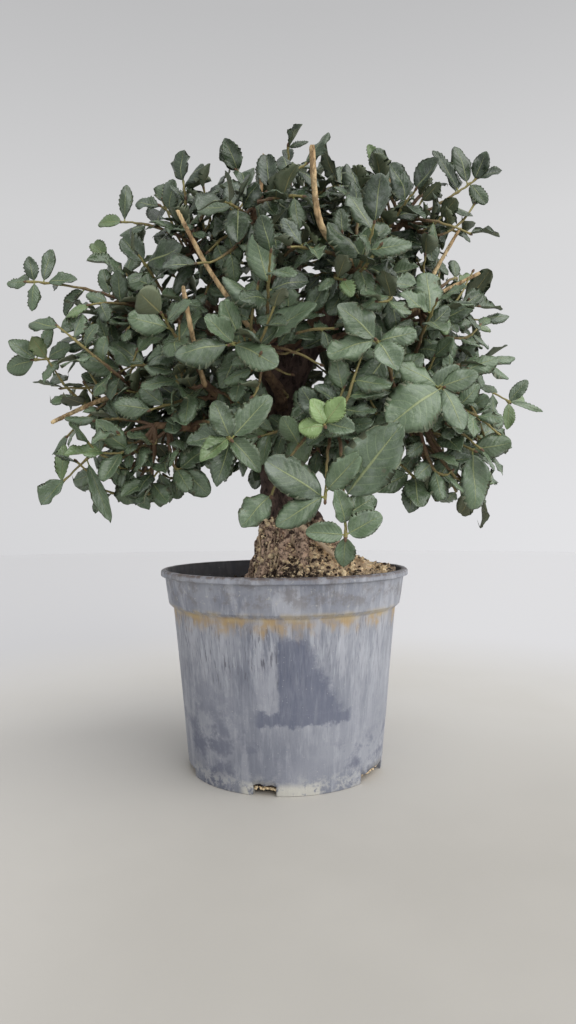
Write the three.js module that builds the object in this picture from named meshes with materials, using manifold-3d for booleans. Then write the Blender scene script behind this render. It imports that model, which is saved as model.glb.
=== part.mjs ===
// A cork oak bonsai in a plastic nursery pot: a fluted trunk that forks into branches, cut stubs,
// leafy shoots, and the soil that the trunk stands in. Millimetres, +Z up. The origin is the middle
// of the pot's foot, and the front of the tree looks along -Y.
import * as THREE from "three";
import { mergeVertices } from "three/addons/utils/BufferGeometryUtils.js";
import Module from "manifold-3d";

const wasm = await Module();
wasm.setup();

// Driving dimensions
const GAP = 0.35; // clearance between pieces that rest against each other
const POT = {
  rimRadius: 80,
  height: 126.7,
  footRadius: 62.5,
  neckRadius: 72, // wall just under the collar
  neckZ: 102.6,
  collarRadius: 74.9, // collar at its lower edge
  collarZ: 105.2,
  lipZ: 122.2,
  mouthRadius: 75.8, // inside of the rim
  wall: 1.6,
  floor: 2.2,
  recess: 2, // hollow under the floor, between the foot ring and the middle pad
  padRadius: 20,
  sides: 36,
};
const NOTCHES = [
  // drain notches in the foot: heading in degrees, width and height
  { heading: -11, width: 14, height: 6.5 },
  { heading: 60, width: 30, height: 5.5 },
  { heading: 116, width: 14, height: 6.5 },
  { heading: 172, width: 30, height: 5.5 },
  { heading: 228, width: 14, height: 6.5 },
  { heading: 284, width: 30, height: 5.5 },
];
const SOIL = { level: 118, tilt: 0.11, heap: 30, heapX: 14, heapLeft: 22, heapRight: 32, heapDepth: 30 };
const HOLE = { x: 5, radius: 23.4, bottom: 96 }; // where the trunk stands in the soil
const CROWN = { x: 9, y: 0, z: 258, width: 116, depth: 112, rise: 128, drop: 78, fullness: 0.85, stoop: 0.15 };
const RULE_SHOOTS = 46; // shoots spread evenly over the crown before those near a placed one are dropped
const CROWN_FLOOR = -0.86; // height on the unit crown below which no shoot ends
const SHOOT_SPACING = 35; // least distance between the tips of two shoots
const MOST_SHOOTS = 57;
const LEAF_THICKNESS = 0.7;
const LEAF_ROOM = 1.2; // free space kept round a blade
const TWIG_RADIUS = 1.4;
const MESH_TOLERANCE = 0.02; // slivers smaller than this are tidied away after parts are joined

const UP = new THREE.Vector3(0, 0, 1);
const vec = (x, y, z) => new THREE.Vector3(x, y, z);
const radians = THREE.MathUtils.degToRad;

// Heading 0 looks to the front, 90 to the right and 180 to the back.
function direction(heading, rise) {
  const h = radians(heading);
  const r = radians(rise);
  return vec(Math.sin(h) * Math.cos(r), -Math.cos(h) * Math.cos(r), Math.sin(r));
}

// A short run of repeatable random numbers from 0 to 1.
function draws(seed) {
  let state = (seed * 7919 + 12345) % 4294967296;
  const next = () => {
    state = (state * 1664525 + 1013904223) % 4294967296;
    return state / 4294967296;
  };
  next();
  next();
  return next;
}

// Wood: the trunk's own line, then branches as rows of
// name, parent, place along the parent, heading, rise, length, start radius, end radius, upward bend
const TRUNK = [
  { at: [5, 0, 96.4], radius: 22 },
  { at: [5, 0, 131], radius: 22.6 },
  { at: [4, 0, 145], radius: 21.4 },
  { at: [2.5, 0, 156], radius: 18 },
  { at: [-1.5, 0, 165], radius: 13.8 },
  { at: [-3.5, 0, 178], radius: 11.8 },
  { at: [-3.5, 1, 200], radius: 11.4 },
  { at: [-2, 2, 220], radius: 11 },
  { at: [0, 2, 240], radius: 10.4 },
];
const FLUTES = { count: 5, depth: 0.16, from: 132, to: 176, turn: 0.7 };
const BRANCHES = [
  ["leader_left", "trunk", 0.97, 278, 68, 96, 9, 4, -0.1],
  ["leader_middle", "trunk", 0.99, 150, 84, 132, 9.5, 3, 0],
  ["leader_right", "trunk", 0.97, 84, 62, 104, 9, 4, 0.05],
  ["left_low", "trunk", 0.88, 286, 24, 104, 6, 2.6, -0.22],
  ["left_lowest", "trunk", 0.79, 306, 12, 92, 4.6, 2.2, -0.12],
  ["right_low", "trunk", 0.86, 70, 24, 106, 6, 2.6, -0.1],
  ["right_lowest", "trunk", 0.78, 56, 10, 100, 4.6, 2.2, 0],
  ["front_high", "trunk", 0.92, 352, 26, 78, 4.8, 2.2, -0.06],
  ["front_low", "trunk", 0.82, 24, 4, 82, 4.4, 2.2, -0.1],
  ["front_left", "trunk", 0.84, 324, 20, 78, 4.4, 2.2, -0.05],
  ["back_middle", "trunk", 0.89, 182, 22, 92, 5, 2.4, 0],
  ["back_left", "trunk", 0.84, 232, 18, 98, 4.8, 2.2, 0],
  ["back_right", "trunk", 0.87, 128, 20, 100, 4.8, 2.2, 0],
  ["back_low", "trunk", 0.78, 164, 4, 84, 4.4, 2.2, -0.04],
  ["left_high", "leader_left", 0.42, 283, 20, 76, 4.6, 2.2, -0.06],
  ["left_top", "leader_left", 0.8, 308, 42, 46, 3.8, 2, 0],
  ["left_back", "leader_left", 0.6, 218, 28, 66, 4, 2, 0],
  ["middle_front", "leader_middle", 0.4, 345, 36, 84, 4.4, 2, 0],
  ["middle_back", "leader_middle", 0.5, 190, 36, 76, 4.2, 2, 0],
  ["front_right", "leader_middle", 0.22, 36, 28, 84, 4.4, 2, 0],
  ["right_high", "leader_right", 0.36, 78, 14, 74, 4.6, 2.2, 0.04],
  ["right_top", "leader_right", 0.72, 66, 40, 60, 4, 2, 0.06],
  ["right_back", "leader_right", 0.52, 146, 26, 70, 4, 2, 0],
];
// Stubs that pruning left, as rows of name, foot, cut end, radius
const STUBS = [
  ["stub_top", [14, -72, 314], [17, -76, 366], 2.3],
  ["stub_top_left", [-14, -30, 352], [-11, -30, 384], 1.7],
  ["stub_top_right", [50, -26, 340], [70, -30, 374], 1.6],
  ["stub_right_high", [86, -20, 300], [112, -22, 341], 1.7],
  ["stub_right", [84, -22, 294], [124, -24, 312], 1.6],
  ["stub_left_front", [-51, -72, 262], [-55, -75, 289], 1.8],
  ["stub_left_shoulder", [-45, -64, 302], [-59, -68, 334], 1.7],
  ["stub_left_end", [-116, -26, 234], [-144, -28, 219], 1.9],
];

function lerp(a, b, t) {
  return a + (b - a) * t;
}

// A line of points with a radius at each, read at a place from 0 to 1.
class Limb {
  constructor(name, points, radii) {
    this.name = name;
    this.points = points;
    this.radii = radii;
  }
  split(t) {
    const last = this.points.length - 1;
    const k = Math.min(last - 1, Math.floor(t * last));
    return [k, t * last - k];
  }
  at(t) {
    const [k, f] = this.split(t);
    return this.points[k].clone().lerp(this.points[k + 1], f);
  }
}

const BRANCH_STEPS = 3;
const CROOK = 0.035; // how far a branch swings to each side, as a share of its length

function growBranches() {
  const trunk = new Limb("trunk", TRUNK.map((p) => vec(...p.at)), TRUNK.map((p) => p.radius));
  const limbs = new Map([["trunk", trunk]]);
  BRANCHES.forEach(([name, parent, place, heading, rise, length, r0, r1, bend], i) => {
    const start = limbs.get(parent).at(place);
    const along = direction(heading, rise);
    const side = direction(heading + 90, 0);
    const sway = i % 2 ? CROOK : -CROOK;
    const points = [];
    const radii = [];
    for (let k = 0; k <= BRANCH_STEPS; k++) {
      const s = k / BRANCH_STEPS;
      const point = start.clone().addScaledVector(along, length * s);
      point.addScaledVector(UP, bend * length * s * s);
      point.addScaledVector(side, sway * length * Math.sin(2 * Math.PI * s));
      points.push(point);
      radii.push(lerp(r0, r1, s));
    }
    limbs.set(name, new Limb(name, points, radii));
  });
  return [...limbs.values()];
}

const limbs = growBranches();

// The point of the wood that a shoot or stub to a given tip grows from. Each place is used once.
const GROW_PLACES = [0.45, 0.6, 0.75, 0.88, 1];
const taken = new Set();
function nearestWood(tip) {
  let best = null;
  limbs.slice(1).forEach((limb) => {
    GROW_PLACES.forEach((place) => {
      const key = limb.name + place;
      if (taken.has(key)) return;
      const point = limb.at(place);
      const away = point.distanceTo(tip) + 0.5 * Math.max(0, point.z - tip.z);
      if (!best || away < best.away) best = { away, point, key };
    });
  });
  taken.add(best.key);
  return best;
}

// Shoots placed by hand where the tree shows them. Each row: name, tip, number of leaves that the rule
// sets, their length and width, arch of the twig, and the leaves set one by one as foot, tip and width.
const PLACED = [
  ["front_low_right", [32, -106, 150], 0, 20, 12, 0.16, [
    [[31, -108, 170], [58, -117, 204], 29],
    [[31, -108, 161], [49, -98, 170], 14],
    [[32, -107, 155], [29, -114, 172], 11],
    [[32, -106, 152], [50, -110, 161], 14],
    [[32, -106, 152], [12, -110, 153], 11],
    [[32, -106, 151], [31, -104, 134], 11],
  ]],
  ["front_low_middle", [22, -100, 169], 0, 20, 12, 0.14, [
    [[21, -99, 170], [-8, -105, 190], 20],
    [[20, -98, 171], [-3, -108, 157], 15],
    [[22, -98, 172], [37, -112, 190], 14],
  ]],
  ["front_low_left", [-6, -94, 172], 0, 20, 12, 0.14, [
    [[-6, -94, 172], [-22, -100, 156], 16],
    [[-6, -86, 175], [8, -80, 182], 12],
  ]],
  ["front_left_star", [-27, -96, 201], 0, 20, 12, 0.1, [
    [[-27, -95, 202], [-7, -100, 224], 15],
    [[-27, -95, 201], [-35, -104, 220], 13],
    [[-27, -95, 201], [-35, -100, 177], 13],
    [[-27, -94, 201], [-51, -96, 201], 15],
    [[-27, -93, 201], [-42, -104, 191], 12],
    [[-26, -90, 200], [-12, -102, 186], 12],
  ]],
  ["young_leaves", [22, -103, 207], 0, 18, 11, 0.1, [
    [[22, -103, 207], [9, -106, 206], 12],
    [[22, -102, 207], [16, -106, 221], 11],
    [[22, -101, 207], [31, -108, 221], 12],
    [[22, -98, 206], [37, -104, 205], 12],
  ]],
  ["front_right_big", [86, -90, 229], 0, 22, 13, 0.1, [
    [[84, -89, 228], [56, -100, 210], 29],
    [[84, -88, 228], [96, -98, 208], 16],
    [[80, -84, 226], [66, -94, 242], 15],
    [[84, -86, 228], [104, -92, 236], 13],
  ]],
  ["front_middle", [-28, -92, 252], 0, 20, 12, 0.12, [
    [[-27, -92, 252], [-56, -98, 247], 18],
    [[-25, -90, 252], [-3, -98, 242], 16],
    [[-20, -84, 262], [-28, -98, 272], 15],
    [[-10, -80, 264], [18, -88, 276], 15],
    [[-24, -88, 256], [-40, -96, 266], 12],
  ]],
  ["front_middle_right", [50, -92, 254], 0, 22, 14, 0.12, [
    [[48, -91, 254], [30, -98, 272], 17],
    [[50, -92, 254], [24, -98, 247], 16],
    [[50, -90, 254], [60, -100, 238], 17],
    [[50, -88, 253], [70, -96, 258], 14],
  ]],
  ["left_long", [-163, -14, 311], 4, 19, 11, 0.05, [
    [[-163, -14, 311], [-176, -15, 310], 8],
    [[-159, -14, 311], [-160, -17, 292], 9],
    [[-158, -14, 312], [-162, -16, 327], 9],
    [[-152, -14, 313], [-148, -17, 331], 9],
    [[-150, -14, 309], [-132, -18, 313], 10],
  ]],
  ["left_middle", [-155, -24, 259], 5, 20, 11, 0.1, [
    [[-155, -24, 259], [-173, -26, 254], 13],
    [[-154, -24, 261], [-144, -28, 280], 8],
    [[-148, -24, 258], [-132, -30, 266], 10],
  ]],
  ["left_lowest_end", [-133, -44, 180], 3, 21, 12, 0.1, [
    [[-132, -44, 180], [-131, -46, 204], 9],
    [[-126, -44, 180], [-145, -48, 169], 12],
    [[-108, -44, 183], [-103, -48, 157], 9],
    [[-96, -44, 184], [-80, -50, 165], 12],
  ]],
  ["left_shoulder", [-104, -6, 352], 5, 20, 12, 0.06, [
    [[-102, -6, 353], [-101, -9, 376], 9],
  ]],
  ["left_upper", [-117, 4, 331], 7, 20, 12, 0.06, []],
  ["left_hanging", [-104, -54, 198], 7, 25, 14, 0.08, []],
  ["left_under", [-80, -50, 180], 6, 21, 13, 0.06, []],
  ["right_crest", [122, -20, 372], 4, 20, 12, -0.04, [
    [[104, -20, 376], [97, -24, 391], 8],
    [[113, -20, 374], [111, -24, 393], 13],
    [[120, -20, 373], [138, -23, 377], 8],
    [[117, -20, 371], [128, -24, 356], 10],
  ]],
  ["right_end", [154, 18, 237], 5, 22, 12, 0.04, [
    [[154, 18, 237], [166, 15, 252], 9],
    [[154, 18, 237], [178, 16, 232], 5],
    [[151, 18, 235], [153, 14, 219], 9],
  ]],
  ["right_narrow", [134, 6, 290], 7, 19, 9, 0.02, []],
  ["right_outer_low", [136, 26, 214], 7, 23, 14, 0.08, []],
  ["right_hanging", [110, -58, 198], 4, 24, 15, 0.12, [
    [[110, -58, 197], [112, -63, 165], 20],
    [[102, -58, 200], [86, -64, 176], 14],
  ]],
  ["right_under", [76, -60, 182], 4, 24, 15, 0.08, [
    [[76, -60, 182], [72, -66, 163], 14],
    [[72, -60, 184], [54, -66, 176], 13],
  ]],
  ["top_spire", [4, -6, 400], 4, 15, 8, 0, [
    [[4, -6, 400], [17, -8, 404], 5],
  ]],
  ["top_left", [-28, -20, 378], 5, 20, 12, 0.02, [
    [[-26, -20, 377], [-37, -24, 394], 14],
  ]],
  ["top_right", [64, -6, 380], 4, 21, 12, 0.02, [
    [[65, -6, 380], [56, -10, 400], 8],
  ]],
  ["left_crown_edge", [-76, -20, 356], 6, 21, 13, 0.02, []],
];

// Tips spread evenly over the crown, a point for each turn of the golden angle.
const GOLDEN_ANGLE = Math.PI * (3 - Math.sqrt(5));
function crownTips(count) {
  const tips = [];
  for (let k = 0; k < count; k++) {
    const height = 1 - (2 * (k + 0.5)) / count;
    if (height < CROWN_FLOOR) continue;
    const round = (1 - height * height) ** (0.5 * CROWN.fullness);
    const turn = k * GOLDEN_ANGLE;
    const lump = 1 + 0.05 * Math.sin(3 * turn + 5 * height);
    const x = CROWN.x + CROWN.width * lump * round * Math.cos(turn);
    const y = CROWN.y + CROWN.depth * lump * round * Math.sin(turn);
    const z = CROWN.z + (height > 0 ? CROWN.rise : CROWN.drop) * lump * height;
    tips.push(vec(x, y, z - CROWN.stoop * Math.max(0, -y) * Math.max(0, height)));
  }
  return tips;
}

// Twigs
const TWIG_STEPS = 2;
const TWIG_TRIES = 10;
const TWIG_ROOM = 1.2;

function distanceToSegment(p, a, b) {
  const ab = b.clone().sub(a);
  const t = Math.min(1, Math.max(0, p.clone().sub(a).dot(ab) / ab.lengthSq()));
  return p.distanceTo(a.clone().addScaledVector(ab, t));
}

function segmentsOf(limb) {
  return limb.points.slice(1).map((b, k) => ({
    a: limb.points[k],
    b,
    radius: Math.max(limb.radii[k], limb.radii[k + 1]),
  }));
}

const stems = limbs.flatMap(segmentsOf); // what no other twig or blade may cross
const leaves = [];

function twigLine(root, tip, bulge) {
  const points = [];
  for (let k = 0; k <= TWIG_STEPS; k++) {
    const s = k / TWIG_STEPS;
    points.push(root.clone().lerp(tip, s).addScaledVector(bulge, 4 * s * (1 - s)));
  }
  return points;
}

const TWIG_TEST_FROM = 0.3;
function twigIsClear(limb) {
  for (let t = TWIG_TEST_FROM; t <= 1.0001; t += 0.1) {
    const p = limb.at(Math.min(t, 1));
    if (stems.some((s) => distanceToSegment(p, s.a, s.b) < s.radius + TWIG_RADIUS + TWIG_ROOM)) return false;
  }
  const crosses = (leaf) => segmentsOf(limb).some((s) => lineHitsLeaf(s.a, s.b, leaf, TWIG_RADIUS + TWIG_ROOM));
  return !leaves.some(crosses);
}

function growTwig(name, tip, arch) {
  const wood = nearestWood(tip);
  const reach = wood.point.distanceTo(tip);
  const side = tip.clone().sub(wood.point).cross(UP).normalize();
  let limb = null;
  for (let attempt = 0; attempt < TWIG_TRIES; attempt++) {
    const swing = attempt * 2.4;
    const bulge = UP.clone().multiplyScalar(reach * (arch + 0.05 * attempt * Math.cos(swing)));
    bulge.addScaledVector(side, reach * 0.05 * attempt * Math.sin(swing));
    const points = twigLine(wood.point, tip, bulge);
    const radii = points.map((_, k) => TWIG_RADIUS * lerp(1.15, 0.75, k / TWIG_STEPS));
    limb = new Limb(name, points, radii);
    if (twigIsClear(limb)) break;
  }
  return limb;
}

// Leaves: a blade is a shallow shell round its own midrib. It lies at `base`, runs along `along`
// with its face towards `face`, and `across` is its width.
const LEAF_CENTRE = 0.55; // middle of the blade's ellipse, as a share of its length
const LEAF_REACH = 0.47; // half the ellipse's length, as a share of the blade's

function makeLeaf(shoot, base, along, face, length, width, seed) {
  const random = draws(seed);
  const across = along.clone().cross(face).normalize();
  return {
    shoot,
    base,
    along,
    across,
    face: across.clone().cross(along).normalize(),
    length,
    width,
    arch: lerp(0.05, 0.24, random()),
    wave: lerp(0.02, 0.07, random()) * width,
    side: random() < 0.5 ? -1 : 1,
    seed,
  };
}

// Height of a blade's surface over its flat plane, at u along it.
function surface(leaf, u) {
  const s = u / leaf.length;
  return -leaf.arch * leaf.length * s * s;
}

function leafPoint(leaf, u, v, lift) {
  return leaf.base
    .clone()
    .addScaledVector(leaf.along, u)
    .addScaledVector(leaf.across, v)
    .addScaledVector(leaf.face, surface(leaf, u) + lift);
}

// Points of a blade from its foot to its tip, by turns on one side and the other: share of the length,
// share of the half width, and which way the waved edge leans there. Each three in a row are a facet.
const ZIGZAG = [
  [0, 0, 0],
  [0.22, 0.7, 1],
  [0.35, -0.95, 1],
  [0.52, 1, -1],
  [0.68, -0.86, -1],
  [0.8, 0.66, 1],
  [1, 0, 0],
];
const RIM_ORDER = [0, 1, 3, 5, 6, 4, 2]; // the same points, once round the outline

function bladePoints(leaf, lift) {
  return ZIGZAG.map(([s, w, lean]) =>
    leafPoint(leaf, s * leaf.length, 0.5 * w * leaf.width * leaf.side, lean * leaf.wave + lift),
  );
}

// Where a point lies against a blade: along, across, and height over its surface.
function placeOn(leaf, p) {
  const d = p.clone().sub(leaf.base);
  const u = d.dot(leaf.along);
  const v = d.dot(leaf.across);
  return { u, v, h: d.dot(leaf.face) - surface(leaf, u) };
}

// Whether a straight piece of line comes nearer to a blade than `room`.
function lineHitsLeaf(a, b, leaf, room) {
  const p = placeOn(leaf, a);
  const q = placeOn(leaf, b);
  const apart = Math.min(Math.abs(p.h), Math.abs(q.h)) > room + leaf.wave;
  if (p.h * q.h > 0 && apart) return false;
  const share = p.h * q.h > 0 ? (Math.abs(p.h) < Math.abs(q.h) ? 0 : 1) : p.h / (p.h - q.h || 1);
  const u = (lerp(p.u, q.u, share) - LEAF_CENTRE * leaf.length) / (LEAF_REACH * leaf.length + room);
  const v = lerp(p.v, q.v, share) / (leaf.width / 2 + room);
  return u * u + v * v < 1;
}

function linesOf(leaf) {
  const points = bladePoints(leaf, 0);
  const lines = RIM_ORDER.map((p, k) => [points[p], points[RIM_ORDER[(k + 1) % RIM_ORDER.length]]]);
  lines.push([points[0], leafPoint(leaf, 0.5 * leaf.length, 0, 0)]);
  lines.push([leafPoint(leaf, 0.5 * leaf.length, 0, 0), points[ZIGZAG.length - 1]]);
  return lines;
}

const RIM_CLEARANCE = { radius: 86, z: 131 }; // blades stay out of the pot and off the soil

function leafIsClear(leaf) {
  leaf.lines = linesOf(leaf);
  leaf.middle = leafPoint(leaf, LEAF_CENTRE * leaf.length, 0, 0);
  const low = leaf.lines.some(([a]) => a.z < RIM_CLEARANCE.z && Math.hypot(a.x, a.y) < RIM_CLEARANCE.radius);
  if (low) return false;
  for (const stem of stems) {
    if (stem.shoot === leaf.shoot) continue;
    const near = distanceToSegment(leaf.middle, stem.a, stem.b) < leaf.length + stem.radius;
    if (near && lineHitsLeaf(stem.a, stem.b, leaf, stem.radius + LEAF_ROOM)) return false;
    const rimHits = (line) => line.some((p) => distanceToSegment(p, stem.a, stem.b) < stem.radius + LEAF_ROOM);
    if (near && leaf.lines.some(rimHits)) return false;
  }
  for (const other of leaves) {
    if (other.middle.distanceTo(leaf.middle) > 0.6 * (other.length + leaf.length)) continue;
    const room = other.shoot === leaf.shoot ? 0.4 * LEAF_ROOM : LEAF_ROOM;
    if (leaf.lines.some(([a, b]) => lineHitsLeaf(a, b, other, room))) return false;
    if (other.lines.some(([a, b]) => lineHitsLeaf(a, b, leaf, room))) return false;
  }
  return true;
}

// The way that a blade's face looks: outwards from the crown and up, and more to the front on the front
// half, where the light came from.
const FACE = { out: 0.5, up: 0.5, front: 0.7, frontHigh: 0.4, upHigh: -0.15, play: 0.8 };
function faceTowards(point, random) {
  const out = vec((point.x - CROWN.x) / CROWN.width, (point.y - CROWN.y) / CROWN.depth, 0);
  out.z = (point.z - CROWN.z) / CROWN.rise;
  const front = Math.min(Math.max(0.75 - point.y / 150, 0), 1);
  const high = Math.min(Math.max((point.z - 250) / 130, 0), 1);
  out.normalize().multiplyScalar(FACE.out);
  out.add(vec(0, -front * (FACE.front + FACE.frontHigh * high), FACE.up + FACE.upHigh * high));
  return out.add(vec(random() - 0.5, random() - 0.5, random() - 0.5).multiplyScalar(FACE.play)).normalize();
}

const LEAF_TRIES = 12;
const FIRST_LEAF = 0.32; // place of the lowest leaf on its twig
const LEAF_TURN = radians(137.5);
const LEAF_LEAN = 48; // least angle between a blade and its twig, and that of the blade at the twig's end
const END_LEAF_LEAN = 12;

// One try at leaf number k of a shoot, at a place on its twig.
function leafTry(twig, shoot, k, place, lean, attempt, length, width) {
  const base = twig.at(place);
  const ahead = twig.at(Math.min(1, place + 0.04)).sub(twig.at(Math.min(1, place + 0.04) - 0.08)).normalize();
  const side = ahead.clone().cross(UP).normalize();
  const over = side.clone().cross(ahead);
  const seed = shoot * 1000 + k * 37 + attempt;
  const random = draws(seed);
  const turn = k * LEAF_TURN + shoot + attempt * 0.9 + random();
  const open = radians(lean + 22 * random() + 2 * attempt);
  const along = ahead.clone().multiplyScalar(Math.cos(open));
  along.addScaledVector(side, Math.sin(open) * Math.cos(turn));
  along.addScaledVector(over, Math.sin(open) * Math.sin(turn)).normalize();
  const size = lerp(0.82, 1.15, random()) * (attempt > LEAF_TRIES / 2 ? 0.8 : 1);
  return makeLeaf(shoot, base, along, faceTowards(base, random), length * size, width * size, seed);
}

function growLeaf(twig, shoot, k, count, length, width) {
  const last = k === count - 1;
  const place = last ? 0.985 : lerp(FIRST_LEAF, 0.94, k / (count - 1));
  const lean = last ? END_LEAF_LEAN : LEAF_LEAN;
  for (let attempt = 0; attempt < LEAF_TRIES; attempt++) {
    const leaf = leafTry(twig, shoot, k, place, lean, attempt, length, width);
    if (leafIsClear(leaf)) {
      leaves.push(leaf);
      return;
    }
  }
}

const TWIG_SEARCH = 40; // places tried for the foot of a placed leaf
function growPlacedLeaf(twig, shoot, k, [foot, tip, width]) {
  const wanted = vec(...foot);
  const places = Array.from({ length: TWIG_SEARCH + 1 }, (_, j) => twig.at((0.99 * j) / TWIG_SEARCH));
  const base = places.reduce((a, b) => (a.distanceTo(wanted) < b.distanceTo(wanted) ? a : b));
  const reach = vec(...tip).sub(base);
  const random = draws(shoot * 1000 + k);
  const face = vec(0.4 * (random() - 0.5), -0.9, 0.15 + 0.3 * random());
  const leaf = makeLeaf(shoot, base, reach.clone().normalize(), face, reach.length(), width, shoot * 1000 + k);
  leafIsClear(leaf);
  leaves.push(leaf);
}

// Wider, plainer leaves fill the crown where the others leave most room, but not in front of a stub.
const GAP_LEAVES = { most: 62, first: 15, places: [0.2, 0.35, 0.5, 0.65, 0.8, 0.92], length: 27, width: 17 };
const STUB_VIEW = 9; // how near to a stub, seen from the front, a leaf hides it
const STUB_PLACES = [0.5, 0.65, 0.8, 0.95];

function isInCrown(point) {
  const rise = point.z > CROWN.z ? CROWN.rise : CROWN.drop;
  const height = (point.z - CROWN.z) / rise;
  const stoop = (CROWN.stoop * Math.max(0, -point.y) * Math.max(0, height)) / rise;
  return Math.hypot((point.x - CROWN.x) / CROWN.width, (point.y - CROWN.y) / CROWN.depth, height + stoop) < 1;
}

function fillGaps(shoots, stubs) {
  const open = stubs.flatMap((limb) => STUB_PLACES.map((t) => limb.at(t)));
  const hidesStub = (p) => open.some((s) => Math.hypot(p.x - s.x, p.z - s.z) < STUB_VIEW && p.y < s.y);
  let tries = [];
  shoots.forEach((shoot, i) =>
    GAP_LEAVES.places.forEach((place, j) => {
      for (let attempt = 0; attempt < LEAF_TRIES; attempt++) {
        const k = GAP_LEAVES.first + j;
        const size = [GAP_LEAVES.length, GAP_LEAVES.width];
        const leaf = leafTry(shoot.twig, i, k, place, LEAF_LEAN, attempt, ...size);
        leaf.plain = true;
        if (!isInCrown(leafPoint(leaf, leaf.length, 0, 0)) || !leafIsClear(leaf)) continue;
        if (hidesStub(leaf.middle)) continue;
        const room = Math.min(...leaves.map((other) => other.middle.distanceTo(leaf.middle)));
        tries.push({ leaf, spot: i * GAP_LEAVES.places.length + j, room });
      }
    }),
  );
  let grown = 0;
  while (grown < GAP_LEAVES.most && tries.length > 0) {
    const best = tries.reduce((a, b) => (b.room > a.room ? b : a));
    if (!leafIsClear(best.leaf)) {
      tries = tries.filter((t) => t !== best);
      continue;
    }
    leaves.push(best.leaf);
    grown += 1;
    tries = tries.filter((t) => t.spot !== best.spot);
    tries.forEach((t) => {
      t.room = Math.min(t.room, t.leaf.middle.distanceTo(best.leaf.middle));
    });
  }
}

// Every shoot: all twigs and the leaves placed by hand come before the first leaf that the rule sets.
function growShoots() {
  const shoots = PLACED.map(([name, tip, count, length, width, arch, placed]) => ({
    name,
    tip: vec(...tip),
    count,
    length,
    width,
    arch,
    placed,
  }));
  crownTips(RULE_SHOOTS).forEach((tip, k) => {
    const crowded = shoots.some((s) => s.tip.distanceTo(tip) < SHOOT_SPACING);
    if (crowded || shoots.length >= MOST_SHOOTS) return;
    const random = draws(9000 + k);
    const length = lerp(19, 26, random());
    shoots.push({
      name: "crown_" + String(k).padStart(2, "0"),
      tip,
      count: tip.y > 25 ? 5 : 6,
      length,
      width: length * lerp(0.54, 0.68, random()),
      arch: 0.04,
      placed: [],
    });
  });
  shoots.forEach((shoot, i) => {
    shoot.twig = growTwig(shoot.name, shoot.tip, shoot.arch);
    stems.push(...segmentsOf(shoot.twig).map((s) => ({ ...s, shoot: i })));
    shoot.placed.forEach((row, k) => growPlacedLeaf(shoot.twig, i, k, row));
  });
  shoots.forEach((shoot, i) => {
    for (let k = 0; k < shoot.count; k++) growLeaf(shoot.twig, i, k, shoot.count, shoot.length, shoot.width);
  });
  return shoots;
}

// Solids
function solid(points, triangles) {
  const vertProperties = new Float32Array(points.flatMap((p) => [p.x, p.y, p.z]));
  const make = (list) =>
    new wasm.Manifold(new wasm.Mesh({ numProp: 3, vertProperties, triVerts: new Uint32Array(list.flat()) }));
  const made = make(triangles);
  return made.volume() < 0 ? make(triangles.map(([a, b, c]) => [a, c, b])) : made;
}

function solidOf(geometry) {
  geometry.deleteAttribute("normal");
  geometry.deleteAttribute("uv");
  const merged = mergeVertices(geometry, 1e-3);
  const at = merged.attributes.position;
  const points = Array.from({ length: at.count }, (_, k) => vec(at.getX(k), at.getY(k), at.getZ(k)));
  const triangles = [];
  for (let k = 0; k < merged.index.count; k += 3) {
    const [a, b, c] = merged.index.array.slice(k, k + 3);
    if (a !== b && b !== c && a !== c) triangles.push([a, b, c]);
  }
  return solid(points, triangles);
}

// A closed body through rings of points, flat at both ends.
function loft(rings) {
  const n = rings[0].length;
  const points = rings.flat();
  const triangles = [];
  for (let r = 0; r < rings.length - 1; r++) {
    for (let k = 0; k < n; k++) {
      const a = r * n + k;
      const b = r * n + ((k + 1) % n);
      triangles.push([a, b, b + n], [a, b + n, a + n]);
    }
  }
  const top = (rings.length - 1) * n;
  for (let k = 1; k < n - 1; k++) triangles.push([0, k + 1, k], [top, top + k, top + k + 1]);
  return solid(points, triangles);
}

// A round bar along a limb, flat at both ends. `swell` makes it thicker and longer all round.
function bar(limb, sides, swell = 0) {
  const last = limb.points.length - 1;
  const span = limb.points[last].clone().sub(limb.points[0]).normalize();
  const reference = Math.abs(span.z) > 0.8 ? vec(1, 0, 0) : UP;
  const rings = limb.points.map((point, k) => {
    const before = limb.points[Math.max(0, k - 1)];
    const after = limb.points[Math.min(last, k + 1)];
    const ahead = after.clone().sub(before).normalize();
    const p = point.clone().addScaledVector(ahead, k === 0 ? -swell : k === last ? swell : 0);
    const right = ahead.clone().cross(reference).normalize();
    const over = right.clone().cross(ahead);
    return Array.from({ length: sides }, (_, j) => {
      const turn = (2 * Math.PI * j) / sides;
      return p
        .clone()
        .addScaledVector(right, (limb.radii[k] + swell) * Math.cos(turn))
        .addScaledVector(over, (limb.radii[k] + swell) * Math.sin(turn));
    });
  });
  return loft(rings);
}

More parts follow.
